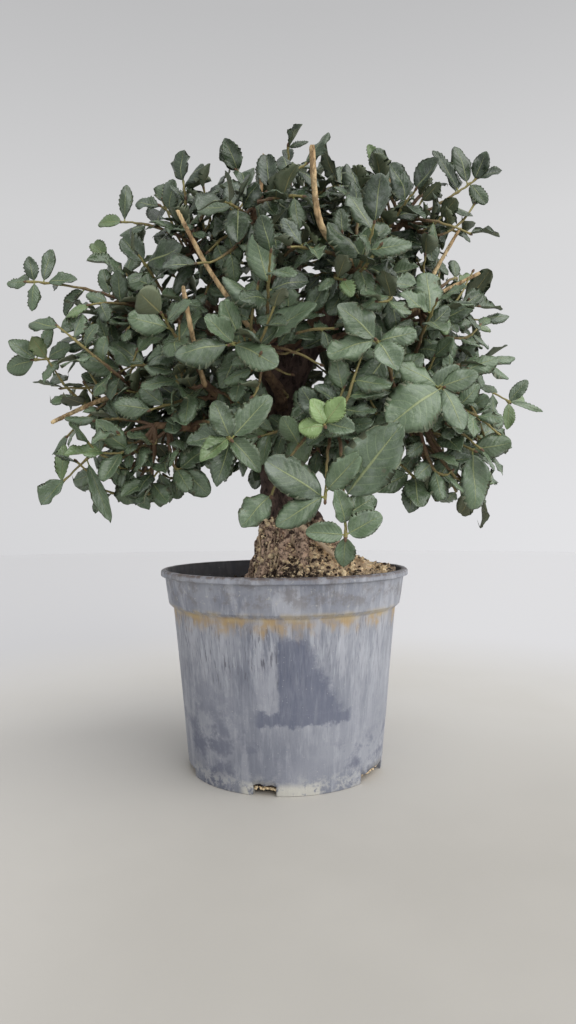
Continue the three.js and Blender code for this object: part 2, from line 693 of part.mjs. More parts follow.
function potSolid() {
  const w = POT.wall;
  const profile = [
    [0, 0],
    [POT.padRadius, 0],
    [POT.padRadius + 2, POT.recess],
    [POT.footRadius - 10, POT.recess],
    [POT.footRadius - 8, 0],
    [POT.footRadius, 0],
    [POT.neckRadius, POT.neckZ],
    [POT.collarRadius, POT.collarZ],
    [POT.rimRadius - 2.7, POT.lipZ],
    [POT.rimRadius, POT.lipZ + 0.8],
    [POT.rimRadius, POT.height - 0.8],
    [POT.rimRadius - 1, POT.height],
    [POT.mouthRadius, POT.height],
    [POT.collarRadius - w, POT.collarZ + 1],
    [POT.neckRadius - w, POT.neckZ - 0.4],
    [POT.footRadius - w, POT.recess + POT.floor],
    [0, POT.recess + POT.floor],
  ];
  const lathe = new THREE.LatheGeometry(profile.map(([r, z]) => new THREE.Vector2(r, z)), POT.sides);
  lathe.rotateX(Math.PI / 2);
  let pot = solidOf(lathe);
  NOTCHES.forEach(({ heading, width, height }) => {
    const box = new THREE.BoxGeometry(width, 12, height + 2);
    box.translate(0, -(POT.footRadius - 3), height / 2 - 1);
    box.rotateZ(radians(heading));
    pot = pot.subtract(solidOf(box));
  });
  return pot;
}

function soilHeight(x, y) {
  const wide = x < SOIL.heapX ? SOIL.heapLeft : SOIL.heapRight;
  const dx = (x - SOIL.heapX) / wide;
  const dy = y / SOIL.heapDepth;
  return SOIL.level + SOIL.tilt * x + SOIL.heap * Math.exp(-dx * dx - dy * dy);
}

const SOIL_RINGS = [0, 0.35, 0.7, 1]; // from the pot's wall to the trunk
function soilSolid() {
  const outer = POT.collarRadius - POT.wall - 2 * GAP;
  const ring = (radius, x, height) =>
    Array.from({ length: POT.sides }, (_, k) => {
      const turn = (2 * Math.PI * k) / POT.sides;
      const point = vec(x + radius * Math.cos(turn), radius * Math.sin(turn), 0);
      point.z = height ?? soilHeight(point.x, point.y);
      return point;
    });
  return loft([
    ring(POT.footRadius - POT.wall - GAP, 0, POT.recess + POT.floor + GAP),
    ring(POT.neckRadius - POT.wall - GAP, 0, POT.neckZ),
    ...SOIL_RINGS.map((t) => ring(lerp(outer, HOLE.radius, t), HOLE.x * t)),
    ring(HOLE.radius, HOLE.x, HOLE.bottom),
  ]);
}

// The trunk's section at a height: round below the soil, with hollows between its roots above it.
const TRUNK_SIDES = 15;
function trunkSolid(swell) {
  const rings = TRUNK.map(({ at: [x, y, z], radius }) => {
    const inside = (z - FLUTES.from) / (FLUTES.to - FLUTES.from);
    const fade = inside > 0 && inside < 1 ? Math.sin(Math.PI * inside) : 0;
    return Array.from({ length: TRUNK_SIDES }, (_, k) => {
      const turn = (2 * Math.PI * k) / TRUNK_SIDES;
      const flute = 0.5 - 0.5 * Math.cos(FLUTES.count * turn + FLUTES.turn);
      const r = radius * (1 - FLUTES.depth * fade * flute) + swell;
      return vec(x + r * Math.cos(turn), y + r * Math.sin(turn), z);
    });
  });
  return loft(rings);
}

const BRANCH_SIDES = 4;
function stubLimbs() {
  return STUBS.map(([name, foot, end, radius]) => {
    const tip = vec(...end);
    const wood = nearestWood(vec(...foot));
    const knee = wood.point.clone().lerp(tip, 0.5).lerp(vec(...foot), 0.5);
    return new Limb(name, [wood.point, knee, tip], [radius * 1.3, radius * 1.15, radius]);
  });
}

function woodSolid(stubs, swell) {
  const parts = [trunkSolid(swell)];
  limbs.slice(1).forEach((limb) => parts.push(bar(limb, BRANCH_SIDES, swell)));
  stubs.forEach((stub) => parts.push(bar(stub, BRANCH_SIDES, swell)));
  return wasm.Manifold.union(parts);
}

// A blade of even thickness: the same triangles on both faces, joined round the rim. A plain blade has
// fewer of the points.
const PLAIN_POINTS = [0, 2, 3, 4, 6];
const PLAIN_RIM = [0, 1, 3, 4, 2];

function leafSolid(leaf) {
  const kept = leaf.plain ? PLAIN_POINTS : ZIGZAG.map((_, k) => k);
  const rim = leaf.plain ? PLAIN_RIM : RIM_ORDER;
  const n = kept.length;
  const face = (lift) => bladePoints(leaf, lift).filter((_, k) => kept.includes(k));
  const points = [...face(LEAF_THICKNESS / 2), ...face(-LEAF_THICKNESS / 2)];
  const triangles = [];
  for (let k = 0; k < n - 2; k++) {
    const [a, b] = k % 2 ? [k + 1, k + 2] : [k + 2, k + 1];
    triangles.push([k, a, b], [n + k, n + b, n + a]);
  }
  rim.forEach((p, k) => {
    const q = rim[(k + 1) % n];
    triangles.push([p, n + q, n + p], [p, q, n + q]);
  });
  return solid(points, triangles);
}

const TWIG_SIDES = 3;
function shootSolid(shoot, index, woodRoom) {
  const parts = [bar(shoot.twig, TWIG_SIDES)];
  leaves.filter((leaf) => leaf.shoot === index).forEach((leaf) => parts.push(leafSolid(leaf)));
  const joined = wasm.Manifold.union(parts).subtract(woodRoom).asOriginal().simplify(MESH_TOLERANCE);
  return joined.decompose().reduce((a, b) => (a.volume() > b.volume() ? a : b));
}

function meshOf(name, body, material) {
  const mesh = body.getMesh();
  const geometry = new THREE.BufferGeometry();
  geometry.setAttribute("position", new THREE.BufferAttribute(new Float32Array(mesh.vertProperties), 3));
  geometry.setIndex(new THREE.BufferAttribute(new Uint32Array(mesh.triVerts), 1));
  geometry.computeVertexNormals();
  const made = new THREE.Mesh(geometry, material);
  made.name = name;
  return made;
}

const plastic = new THREE.MeshStandardMaterial({ color: 0x6f7686, roughness: 0.75, metalness: 0 });
const earth = new THREE.MeshStandardMaterial({ color: 0x3a2c22, roughness: 1, metalness: 0 });
const bark = new THREE.MeshStandardMaterial({ color: 0x4a3129, roughness: 0.9, metalness: 0 });
const foliage = new THREE.MeshStandardMaterial({ color: 0x2f4a34, roughness: 0.5, metalness: 0 });

const stubs = stubLimbs();
stems.push(...stubs.flatMap(segmentsOf));
const shoots = growShoots();
fillGaps(shoots, stubs);
const woodRoom = woodSolid(stubs, GAP);

const bonsai = new THREE.Group();
bonsai.add(meshOf("pot", potSolid(), plastic));
bonsai.add(meshOf("soil", soilSolid(), earth));
bonsai.add(meshOf("trunk_and_branches", woodSolid(stubs, 0), bark));
shoots.forEach((shoot, i) => bonsai.add(meshOf("shoot_" + shoot.name, shootSolid(shoot, i, woodRoom), foliage)));

export default bonsai;
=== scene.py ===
"""Looks of a cork oak bonsai in its nursery pot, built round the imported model.

The layout below grows the same branches, shoots and leaves as the solid model, in millimetres, by
the same rule. Every shoot then gets fine leaves and a real twig, and more foliage fills the crown.
"""

import math

import bpy
import numpy as np
from mathutils import Matrix, Vector, noise


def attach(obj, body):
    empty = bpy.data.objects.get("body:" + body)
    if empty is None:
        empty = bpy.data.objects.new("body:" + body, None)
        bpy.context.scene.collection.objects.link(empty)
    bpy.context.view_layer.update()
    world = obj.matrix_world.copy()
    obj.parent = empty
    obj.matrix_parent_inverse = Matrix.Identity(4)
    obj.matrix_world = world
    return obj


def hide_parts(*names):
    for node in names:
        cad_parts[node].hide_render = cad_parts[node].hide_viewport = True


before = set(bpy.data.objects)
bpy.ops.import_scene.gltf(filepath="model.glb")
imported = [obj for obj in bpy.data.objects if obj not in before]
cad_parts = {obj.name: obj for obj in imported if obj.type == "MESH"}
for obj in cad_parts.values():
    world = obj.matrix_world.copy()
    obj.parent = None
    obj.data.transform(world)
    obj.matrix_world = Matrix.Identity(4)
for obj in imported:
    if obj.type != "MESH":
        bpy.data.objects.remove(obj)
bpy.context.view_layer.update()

MM = 0.001

# The camera, fitted to the two ellipses of the pot's rim and collar
CAMERA_AT = Vector((0.0026, -0.4773, 0.163))
CAMERA_LENS = 25.5
CAMERA_ROLL = math.radians(0.35)

# Layout values, the same as the solid model's
POT = {
    "rim": 80.0,
    "height": 126.7,
    "foot": 62.5,
    "neck": 72.0,
    "neck_z": 102.6,
    "collar": 74.9,
    "collar_z": 105.2,
    "lip_z": 122.2,
    "mouth": 75.8,
    "wall": 1.6,
    "floor": 2.2,
    "recess": 2.0,
    "pad": 20.0,
}
# Heading, width and height of each drain notch
NOTCHES = (
    (-11, 14, 6.5),
    (60, 30, 5.5),
    (116, 14, 6.5),
    (172, 30, 5.5),
    (228, 14, 6.5),
    (284, 30, 5.5),
)
SOIL = {"level": 118, "tilt": 0.11, "heap": 30, "x": 14, "left": 22, "right": 32, "depth": 30}
CROWN = {
    "x": 9,
    "y": 0,
    "z": 258,
    "width": 116,
    "depth": 112,
    "rise": 128,
    "drop": 78,
    "fullness": 0.85,
    "stoop": 0.15,
}
RULE_SHOOTS = 46
CROWN_FLOOR = -0.86
SHOOT_SPACING = 35
MOST_SHOOTS = 57
RULE_ARCH = 0.04
LEAF_ROOM = 1.2
TWIG_RADIUS = 1.4
UP = np.array([0.0, 0.0, 1.0])

TRUNK = (
    (5, 0, 96.4, 22),
    (5, 0, 131, 22.6),
    (4, 0, 145, 21.4),
    (2.5, 0, 156, 18),
    (-1.5, 0, 165, 13.8),
    (-3.5, 0, 178, 11.8),
    (-3.5, 1, 200, 11.4),
    (-2, 2, 220, 11),
    (0, 2, 240, 10.4),
)
FLUTES = {"count": 5, "depth": 0.16, "from": 132, "to": 176, "turn": 0.7}
# name, parent, place along the parent, heading, rise, length, start radius, end radius, upward bend
BRANCHES = (
    ("leader_left", "trunk", 0.97, 278, 68, 96, 9, 4, -0.1),
    ("leader_middle", "trunk", 0.99, 150, 84, 132, 9.5, 3, 0),
    ("leader_right", "trunk", 0.97, 84, 62, 104, 9, 4, 0.05),
    ("left_low", "trunk", 0.88, 286, 24, 104, 6, 2.6, -0.22),
    ("left_lowest", "trunk", 0.79, 306, 12, 92, 4.6, 2.2, -0.12),
    ("right_low", "trunk", 0.86, 70, 24, 106, 6, 2.6, -0.1),
    ("right_lowest", "trunk", 0.78, 56, 10, 100, 4.6, 2.2, 0),
    ("front_high", "trunk", 0.92, 352, 26, 78, 4.8, 2.2, -0.06),
    ("front_low", "trunk", 0.82, 24, 4, 82, 4.4, 2.2, -0.1),
    ("front_left", "trunk", 0.84, 324, 20, 78, 4.4, 2.2, -0.05),
    ("back_middle", "trunk", 0.89, 182, 22, 92, 5, 2.4, 0),
    ("back_left", "trunk", 0.84, 232, 18, 98, 4.8, 2.2, 0),
    ("back_right", "trunk", 0.87, 128, 20, 100, 4.8, 2.2, 0),
    ("back_low", "trunk", 0.78, 164, 4, 84, 4.4, 2.2, -0.04),
    ("left_high", "leader_left", 0.42, 283, 20, 76, 4.6, 2.2, -0.06),
    ("left_top", "leader_left", 0.8, 308, 42, 46, 3.8, 2, 0),
    ("left_back", "leader_left", 0.6, 218, 28, 66, 4, 2, 0),
    ("middle_front", "leader_middle", 0.4, 345, 36, 84, 4.4, 2, 0),
    ("middle_back", "leader_middle", 0.5, 190, 36, 76, 4.2, 2, 0),
    ("front_right", "leader_middle", 0.22, 36, 28, 84, 4.4, 2, 0),
    ("right_high", "leader_right", 0.36, 78, 14, 74, 4.6, 2.2, 0.04),
    ("right_top", "leader_right", 0.72, 66, 40, 60, 4, 2, 0.06),
    ("right_back", "leader_right", 0.52, 146, 26, 70, 4, 2, 0),
)
# name, foot, cut end, radius
STUBS = (
  ("stub_top", (14, -72, 314), (17, -76, 366), 2.3),
  ("stub_top_left", (-14, -30, 352), (-11, -30, 384), 1.7),
  ("stub_top_right", (50, -26, 340), (70, -30, 374), 1.6),
  ("stub_right_high", (86, -20, 300), (112, -22, 341), 1.7),
  ("stub_right", (84, -22, 294), (124, -24, 312), 1.6),
  ("stub_left_front", (-51, -72, 262), (-55, -75, 289), 1.8),
  ("stub_left_shoulder", (-45, -64, 302), (-59, -68, 334), 1.7),
  ("stub_left_end", (-116, -26, 234), (-144, -28, 219), 1.9),
)
# name, tip, leaves that the rule sets, their length and width, arch of the twig, and the leaves set
# one by one as foot, tip and width
PLACED = (
  ("front_low_right", (32, -106, 150), 0, 20, 12, 0.16, (
    ((31, -108, 170), (58, -117, 204), 29),
    ((31, -108, 161), (49, -98, 170), 14),
    ((32, -107, 155), (29, -114, 172), 11),
    ((32, -106, 152), (50, -110, 161), 14),
    ((32, -106, 152), (12, -110, 153), 11),
    ((32, -106, 151), (31, -104, 134), 11),
  )),
  ("front_low_middle", (22, -100, 169), 0, 20, 12, 0.14, (
    ((21, -99, 170), (-8, -105, 190), 20),
    ((20, -98, 171), (-3, -108, 157), 15),
    ((22, -98, 172), (37, -112, 190), 14),
  )),
  ("front_low_left", (-6, -94, 172), 0, 20, 12, 0.14, (
    ((-6, -94, 172), (-22, -100, 156), 16),
    ((-6, -86, 175), (8, -80, 182), 12),
  )),
  ("front_left_star", (-27, -96, 201), 0, 20, 12, 0.1, (
    ((-27, -95, 202), (-7, -100, 224), 15),
    ((-27, -95, 201), (-35, -104, 220), 13),
    ((-27, -95, 201), (-35, -100, 177), 13),
    ((-27, -94, 201), (-51, -96, 201), 15),
    ((-27, -93, 201), (-42, -104, 191), 12),
    ((-26, -90, 200), (-12, -102, 186), 12),
  )),
  ("young_leaves", (22, -103, 207), 0, 18, 11, 0.1, (
    ((22, -103, 207), (9, -106, 206), 12),
    ((22, -102, 207), (16, -106, 221), 11),
    ((22, -101, 207), (31, -108, 221), 12),
    ((22, -98, 206), (37, -104, 205), 12),
  )),
  ("front_right_big", (86, -90, 229), 0, 22, 13, 0.1, (
    ((84, -89, 228), (56, -100, 210), 29),
    ((84, -88, 228), (96, -98, 208), 16),
    ((80, -84, 226), (66, -94, 242), 15),
    ((84, -86, 228), (104, -92, 236), 13),
  )),
  ("front_middle", (-28, -92, 252), 0, 20, 12, 0.12, (
    ((-27, -92, 252), (-56, -98, 247), 18),
    ((-25, -90, 252), (-3, -98, 242), 16),
    ((-20, -84, 262), (-28, -98, 272), 15),
    ((-10, -80, 264), (18, -88, 276), 15),
    ((-24, -88, 256), (-40, -96, 266), 12),
  )),
  ("front_middle_right", (50, -92, 254), 0, 22, 14, 0.12, (
    ((48, -91, 254), (30, -98, 272), 17),
    ((50, -92, 254), (24, -98, 247), 16),
    ((50, -90, 254), (60, -100, 238), 17),
    ((50, -88, 253), (70, -96, 258), 14),
  )),
  ("left_long", (-163, -14, 311), 4, 19, 11, 0.05, (
    ((-163, -14, 311), (-176, -15, 310), 8),
    ((-159, -14, 311), (-160, -17, 292), 9),
    ((-158, -14, 312), (-162, -16, 327), 9),
    ((-152, -14, 313), (-148, -17, 331), 9),
    ((-150, -14, 309), (-132, -18, 313), 10),
  )),
  ("left_middle", (-155, -24, 259), 5, 20, 11, 0.1, (
    ((-155, -24, 259), (-173, -26, 254), 13),
    ((-154, -24, 261), (-144, -28, 280), 8),
    ((-148, -24, 258), (-132, -30, 266), 10),
  )),
  ("left_lowest_end", (-133, -44, 180), 3, 21, 12, 0.1, (
    ((-132, -44, 180), (-131, -46, 204), 9),
    ((-126, -44, 180), (-145, -48, 169), 12),
    ((-108, -44, 183), (-103, -48, 157), 9),
    ((-96, -44, 184), (-80, -50, 165), 12),
  )),
  ("left_shoulder", (-104, -6, 352), 5, 20, 12, 0.06, (
    ((-102, -6, 353), (-101, -9, 376), 9),
  )),
  ("left_upper", (-117, 4, 331), 7, 20, 12, 0.06, ()),
  ("left_hanging", (-104, -54, 198), 7, 25, 14, 0.08, ()),
  ("left_under", (-80, -50, 180), 6, 21, 13, 0.06, ()),
  ("right_crest", (122, -20, 372), 4, 20, 12, -0.04, (
    ((104, -20, 376), (97, -24, 391), 8),
    ((113, -20, 374), (111, -24, 393), 13),
    ((120, -20, 373), (138, -23, 377), 8),
    ((117, -20, 371), (128, -24, 356), 10),
  )),
  ("right_end", (154, 18, 237), 5, 22, 12, 0.04, (
    ((154, 18, 237), (166, 15, 252), 9),
    ((154, 18, 237), (178, 16, 232), 5),
    ((151, 18, 235), (153, 14, 219), 9),
  )),
  ("right_narrow", (134, 6, 290), 7, 19, 9, 0.02, ()),
  ("right_outer_low", (136, 26, 214), 7, 23, 14, 0.08, ()),
  ("right_hanging", (110, -58, 198), 4, 24, 15, 0.12, (
    ((110, -58, 197), (112, -63, 165), 20),
    ((102, -58, 200), (86, -64, 176), 14),
  )),
  ("right_under", (76, -60, 182), 4, 24, 15, 0.08, (
    ((76, -60, 182), (72, -66, 163), 14),
    ((72, -60, 184), (54, -66, 176), 13),
  )),
  ("top_spire", (4, -6, 400), 4, 15, 8, 0, (
    ((4, -6, 400), (17, -8, 404), 5),
  )),
  ("top_left", (-28, -20, 378), 5, 20, 12, 0.02, (
    ((-26, -20, 377), (-37, -24, 394), 14),
  )),
  ("top_right", (64, -6, 380), 4, 21, 12, 0.02, (
    ((65, -6, 380), (56, -10, 400), 8),
  )),
  ("left_crown_edge", (-76, -20, 356), 6, 21, 13, 0.02, ()),
)


def vec(x, y, z):
    return np.array([x, y, z], float)


def unit(v):
    return v / math.sqrt(float(v @ v))


def cross(a, b):
    return np.array([a[1] * b[2] - a[2] * b[1], a[2] * b[0] - a[0] * b[2], a[0] * b[1] - a[1] * b[0]])


def lerp(a, b, t):
    return a + (b - a) * t


def bowed(start, end, bulge, s):
    """A point on the curve from start to end that stands out by `bulge` in the middle."""
    return lerp(start, end, s) + bulge * (4 * s * (1 - s))


def within(value):
    """The value, kept between 0 and 1."""
    return min(max(value, 0), 1)


def circle(radius, z, sides):
    """Points round the upright axis at a height."""
    turns = [2 * math.pi * k / sides for k in range(sides)]
    return [vec(radius * math.cos(t), radius * math.sin(t), z) for t in turns]


def direction(heading, rise):
    """Heading 0 looks to the front, 90 to the right and 180 to the back."""
    h = math.radians(heading)
    r = math.radians(rise)
    return vec(math.sin(h) * math.cos(r), -math.cos(h) * math.cos(r), math.sin(r))


# Where each run of random numbers begins
SEEDS = {
    "rule_shoot": 9000,
    "lump_tip": 30000,
    "fill_shoot": 31000,
    "leaf_form": 70001,
    "shoot_form": 500,
    "fill_form": 900,
    "notch": 1000,
    "crumbs": 77,
    "straws": 78,
}


def draws(seed):
    """A run of repeatable random numbers from 0 to 1."""
    state = (seed * 7919 + 12345) % 4294967296

    def step():
        nonlocal state
        state = (state * 1664525 + 1013904223) % 4294967296
        return state / 4294967296

    step()
    step()
    return step


class Limb:
    """A line of points with a radius at each, read at a place from 0 to 1."""

    def __init__(self, name, points, radii):
        self.name = name
        self.points = np.array(points, float)
        self.radii = list(radii)

    def at(self, t):
        last = len(self.points) - 1
        k = min(last - 1, math.floor(t * last))
        return lerp(self.points[k], self.points[k + 1], t * last - k)


BRANCH_STEPS = 3
CROOK = 0.035


def grow_branches():
    limbs = {"trunk": Limb("trunk", [p[:3] for p in TRUNK], [p[3] for p in TRUNK])}
    for i, (name, parent, place, heading, rise, length, r0, r1, bend) in enumerate(BRANCHES):
        start = limbs[parent].at(place)
        along = direction(heading, rise)
        side = direction(heading + 90, 0)
        sway = CROOK if i % 2 else -CROOK
        points = []
        for k in range(BRANCH_STEPS + 1):
            s = k / BRANCH_STEPS
            point = start + along * (length * s) + UP * (bend * length * s * s)
            points.append(point + side * (sway * length * math.sin(2 * math.pi * s)))
        radii = [lerp(r0, r1, k / BRANCH_STEPS) for k in range(BRANCH_STEPS + 1)]
        limbs[name] = Limb(name, points, radii)
    return list(limbs.values())


LIMBS = grow_branches()
GROW_PLACES = (0.45, 0.6, 0.75, 0.88, 1)
taken = set()


def nearest_wood(tip):
    best = None
    for limb in LIMBS[1:]:
        for place in GROW_PLACES:
            key = (limb.name, place)
            if key in taken:
                continue
            point = limb.at(place)
            away = math.dist(point, tip) + 0.5 * max(0, point[2] - tip[2])
            if best is None or away < best[0]:
                best = (away, point, key)
    taken.add(best[2])
    return best[1]


GOLDEN_ANGLE = math.pi * (3 - math.sqrt(5))


def spiral(count):
    """Heights from 1 down to -1 and turns that spread points evenly over a ball."""
    return [(1 - (2 * (k + 0.5)) / count, k * GOLDEN_ANGLE) for k in range(count)]


def crown_tips(count, floor):
    tips = []
    for height, turn in spiral(count):
        if height < floor:
            continue
        ring = (1 - height * height) ** (0.5 * CROWN["fullness"])
        lump = 1 + 0.05 * math.sin(3 * turn + 5 * height)
        reach = CROWN["rise"] if height > 0 else CROWN["drop"]
        x = CROWN["x"] + CROWN["width"] * lump * ring * math.cos(turn)
        y = CROWN["y"] + CROWN["depth"] * lump * ring * math.sin(turn)
        z = CROWN["z"] + reach * lump * height - CROWN["stoop"] * max(0, -y) * max(0, height)
        tips.append(vec(x, y, z))
    return tips


class Stems:
    """All straight pieces of stem, as arrays, so that many can be tested at once."""

    def __init__(self):
        self.a = np.zeros((0, 3))
        self.b = np.zeros((0, 3))
        self.radius = np.zeros(0)
        self.shoot = np.zeros(0, int)

    def add(self, limb, shoot=-1):
        n = len(limb.points) - 1
        self.a = np.vstack([self.a, limb.points[:-1]])
        self.b = np.vstack([self.b, limb.points[1:]])
        radii = [max(limb.radii[k], limb.radii[k + 1]) for k in range(n)]
        self.radius = np.concatenate([self.radius, radii])
        self.shoot = np.concatenate([self.shoot, np.full(n, shoot)])

    def away(self, points, which=slice(None)):
        """Distance of each point to each stem, as a table of points by stems."""
        a = self.a[which]
        ab = self.b[which] - a
        ap = np.asarray(points)[:, None, :] - a
        t = np.clip((ap * ab).sum(2) / (ab * ab).sum(1), 0, 1)
        return np.linalg.norm(ap - t[..., None] * ab, axis=2)


LEAF_CENTRE = 0.55
LEAF_REACH = 0.47
# Points of a blade of the solid model: share of the length, share of the half width, lean of the wave
ZIGZAG = (
    (0, 0, 0),
    (0.22, 0.7, 1),
    (0.35, -0.95, 1),
    (0.52, 1, -1),
    (0.68, -0.86, -1),
    (0.8, 0.66, 1),
    (1, 0, 0),
)
RIM_ORDER = [0, 1, 3, 5, 6, 4, 2]


class Leaf:
    """A blade's place and form."""

    def __init__(self, shoot, base, along, face, length, width, seed):
        random = draws(seed)
        self.shoot = shoot
        self.base = base
        self.along = along
        self.across = unit(cross(along, face))
        self.face = unit(cross(self.across, along))
        self.length = length
        self.width = width
        self.arch = lerp(0.05, 0.24, random())
        self.wave = lerp(0.02, 0.07, random()) * width
        self.side = -1 if random() < 0.5 else 1
        self.seed = seed
        self.lines = None
        self.middle = self.point(LEAF_CENTRE * length, 0, 0)

    def point(self, u, v, lift):
        s = u / self.length
        height = -self.arch * self.length * s * s + lift
        return self.base + self.along * u + self.across * v + self.face * height

    def trace(self):
        """The straight lines that stand for the blade when it is tested against others."""
        points = []
        for s, w, lean in ZIGZAG:
            across = 0.5 * w * self.width * self.side
            points.append(self.point(s * self.length, across, lean * self.wave))
        half = self.point(0.5 * self.length, 0, 0)
        rim = [points[k] for k in RIM_ORDER]
        lines = list(zip(rim, rim[1:] + rim[:1]))
        self.lines = np.array(lines + [(points[0], half), (half, points[-1])])


class Blades:
    """All blades set so far, as arrays."""

    VECTORS = ("base", "along", "across", "face")
    NUMBERS = ("length", "width", "arch", "wave")
    FIELDS = VECTORS + NUMBERS + ("shoot", "middle", "lines")

    def __init__(self):
        self.all = []
        self.table = None

    def add(self, leaf):
        self.all.append(leaf)
        row = {f: np.array([getattr(leaf, f)]) for f in self.FIELDS}
        if self.table is None:
            self.table = row
        else:
            self.table = {f: np.concatenate([self.table[f], row[f]]) for f in self.FIELDS}

    def drop_last(self):
        self.all.pop()
        self.table = {f: self.table[f][:-1] for f in self.FIELDS}

    def near(self, leaf):
        if self.table is None:
            return None
        away = np.linalg.norm(self.table["middle"] - leaf.middle, axis=1)
        which = away <= 0.6 * (self.table["length"] + leaf.length)
        return {f: self.table[f][which] for f in self.FIELDS} if which.any() else None


def lines_hit(a, b, row, room):
    """Whether pieces of line come nearer to blades than `room`. The arrays are broadcast together."""

    def place(p):
        d = p - row["base"]
        u = (d * row["along"]).sum(-1)
        height = -row["arch"] * row["length"] * (u / row["length"]) ** 2
        return u, (d * row["across"]).sum(-1), (d * row["face"]).sum(-1) - height

    ua, va, ha = place(a)
    ub, vb, hb = place(b)
    same_side = ha * hb > 0
    apart = np.minimum(np.abs(ha), np.abs(hb)) > room + row["wave"]
    gap = np.where(ha - hb == 0, 1, ha - hb)
    share = np.where(same_side, np.where(np.abs(ha) < np.abs(hb), 0, 1), ha / gap)
    u = (ua + (ub - ua) * share - LEAF_CENTRE * row["length"]) / (LEAF_REACH * row["length"] + room)
    v = (va + (vb - va) * share) / (row["width"] / 2 + room)
    return (u * u + v * v < 1) & ~(same_side & apart)


def as_row(leaf):
    return {f: np.array(getattr(leaf, f)) for f in Blades.FIELDS}


def widened(row):
    """The same blades with one more axis, to test each against several lines."""
    return {f: row[f][:, None] for f in Blades.VECTORS + Blades.NUMBERS}


stems = Stems()
blades = Blades()
for limb in LIMBS:
    stems.add(limb)

TWIG_STEPS = 2
TWIG_TRIES = 10
TWIG_ROOM = 1.2
TWIG_TEST_FROM = 0.3


def twig_is_clear(limb):
    places = []
    t = TWIG_TEST_FROM
    while t <= 1.0001:
        places.append(min(t, 1))
        t += 0.1
    away = stems.away([limb.at(t) for t in places])
    if (away < stems.radius + TWIG_RADIUS + TWIG_ROOM).any():
        return False
    if blades.table is None:
        return True
    row = widened(blades.table)
    return not lines_hit(limb.points[:-1], limb.points[1:], row, TWIG_RADIUS + TWIG_ROOM).any()


def grow_twig(name, root, tip, arch):
    reach = math.dist(root, tip)
    side = unit(cross(tip - root, UP))
    limb = None
    for attempt in range(TWIG_TRIES):
        swing = attempt * 2.4
        bulge = UP * (reach * (arch + 0.05 * attempt * math.cos(swing)))
        bulge = bulge + side * (reach * 0.05 * attempt * math.sin(swing))
        shares = [k / TWIG_STEPS for k in range(TWIG_STEPS + 1)]
        points = [bowed(root, tip, bulge, s) for s in shares]
        limb = Limb(name, points, [TWIG_RADIUS * lerp(1.15, 0.75, s) for s in shares])
        if twig_is_clear(limb):
            break
    return limb


RIM_CLEARANCE = {"radius": 86, "z": 131}


def leaf_is_clear(leaf, room=LEAF_ROOM):
    leaf.trace()
    ends = leaf.lines[:, 0]
    near_rim = np.hypot(ends[:, 0], ends[:, 1]) < RIM_CLEARANCE["radius"]
    if ((ends[:, 2] < RIM_CLEARANCE["z"]) & near_rim).any():
        return False
    near = stems.away([leaf.middle])[0] < leaf.length + stems.radius
    near &= stems.shoot != leaf.shoot
    if near.any():
        radius = stems.radius[near]
        if lines_hit(stems.a[near], stems.b[near], as_row(leaf), radius + room).any():
            return False
        if (stems.away(leaf.lines.reshape(-1, 3), near) < radius + room).any():
            return False
    others = blades.near(leaf)
    if others is None:
        return True
    rooms = np.where(others["shoot"] == leaf.shoot, 0.4 * room, room)[:, None]
    if lines_hit(leaf.lines[:, 0], leaf.lines[:, 1], widened(others), rooms).any():
        return False
    return not lines_hit(others["lines"][:, :, 0], others["lines"][:, :, 1], as_row(leaf), rooms).any()


FACE = {"out": 0.5, "up": 0.5, "front": 0.7, "front_high": 0.4, "up_high": -0.15, "play": 0.8}
LEVEL_FACE = {"front": 1.3, "up": 0.75}


def face_towards(point, random, level=False):
    out = vec(
        (point[0] - CROWN["x"]) / CROWN["width"],
        (point[1] - CROWN["y"]) / CROWN["depth"],
        (point[2] - CROWN["z"]) / CROWN["rise"],
    )
    front = within(0.75 - point[1] / 150)
    high = within((point[2] - 250) / 130)
    forward = FACE["front"] + FACE["front_high"] * high
    turned = vec(0, -front * forward, FACE["up"] + FACE["up_high"] * high)
    if level:
        turned = vec(0, -front * LEVEL_FACE["front"] * random(), LEVEL_FACE["up"])
    jitter = vec(random() - 0.5, random() - 0.5, random() - 0.5)
    return unit(unit(out) * FACE["out"] + turned + jitter * FACE["play"])


LEAF_TRIES = 12
FIRST_LEAF = 0.32
LEAF_TURN = math.radians(137.5)
LEAF_LEAN = 48
END_LEAF_LEAN = 12


def leaf_try(twig, shoot, k, place, lean, attempt, length, width, level=False):
    """One try at leaf number k of a shoot, at a place on its twig."""
    base = twig.at(place)
    ahead_at = min(1, place + 0.04)
    ahead = unit(twig.at(ahead_at) - twig.at(ahead_at - 0.08))
    side = unit(cross(ahead, UP))
    over = cross(side, ahead)
    seed = shoot * 1000 + k * 37 + attempt
    random = draws(seed)
    turn = k * LEAF_TURN + shoot + attempt * 0.9 + random()
    opening = math.radians(lean + 22 * random() + 2 * attempt)
    along = ahead * math.cos(opening) + side * (math.sin(opening) * math.cos(turn))
    along = unit(along + over * (math.sin(opening) * math.sin(turn)))
    size = lerp(0.82, 1.15, random()) * (0.8 if attempt > LEAF_TRIES / 2 else 1)
    face = face_towards(base, random, level)
    leaf = Leaf(shoot, base, along, face, length * size, width * size, seed)
    leaf.place = place
    return leaf


def grow_leaf(twig, shoot, k, count, length, width, room=LEAF_ROOM, first=FIRST_LEAF, level=False):
    last = k == count - 1
    place = 0.985 if last else lerp(first, 0.94, k / (count - 1))
    lean = END_LEAF_LEAN if last else LEAF_LEAN
    for attempt in range(LEAF_TRIES):
        leaf = leaf_try(twig, shoot, k, place, lean, attempt, length, width, level)
        if leaf_is_clear(leaf, room):
            blades.add(leaf)
            return


TWIG_SEARCH = 40


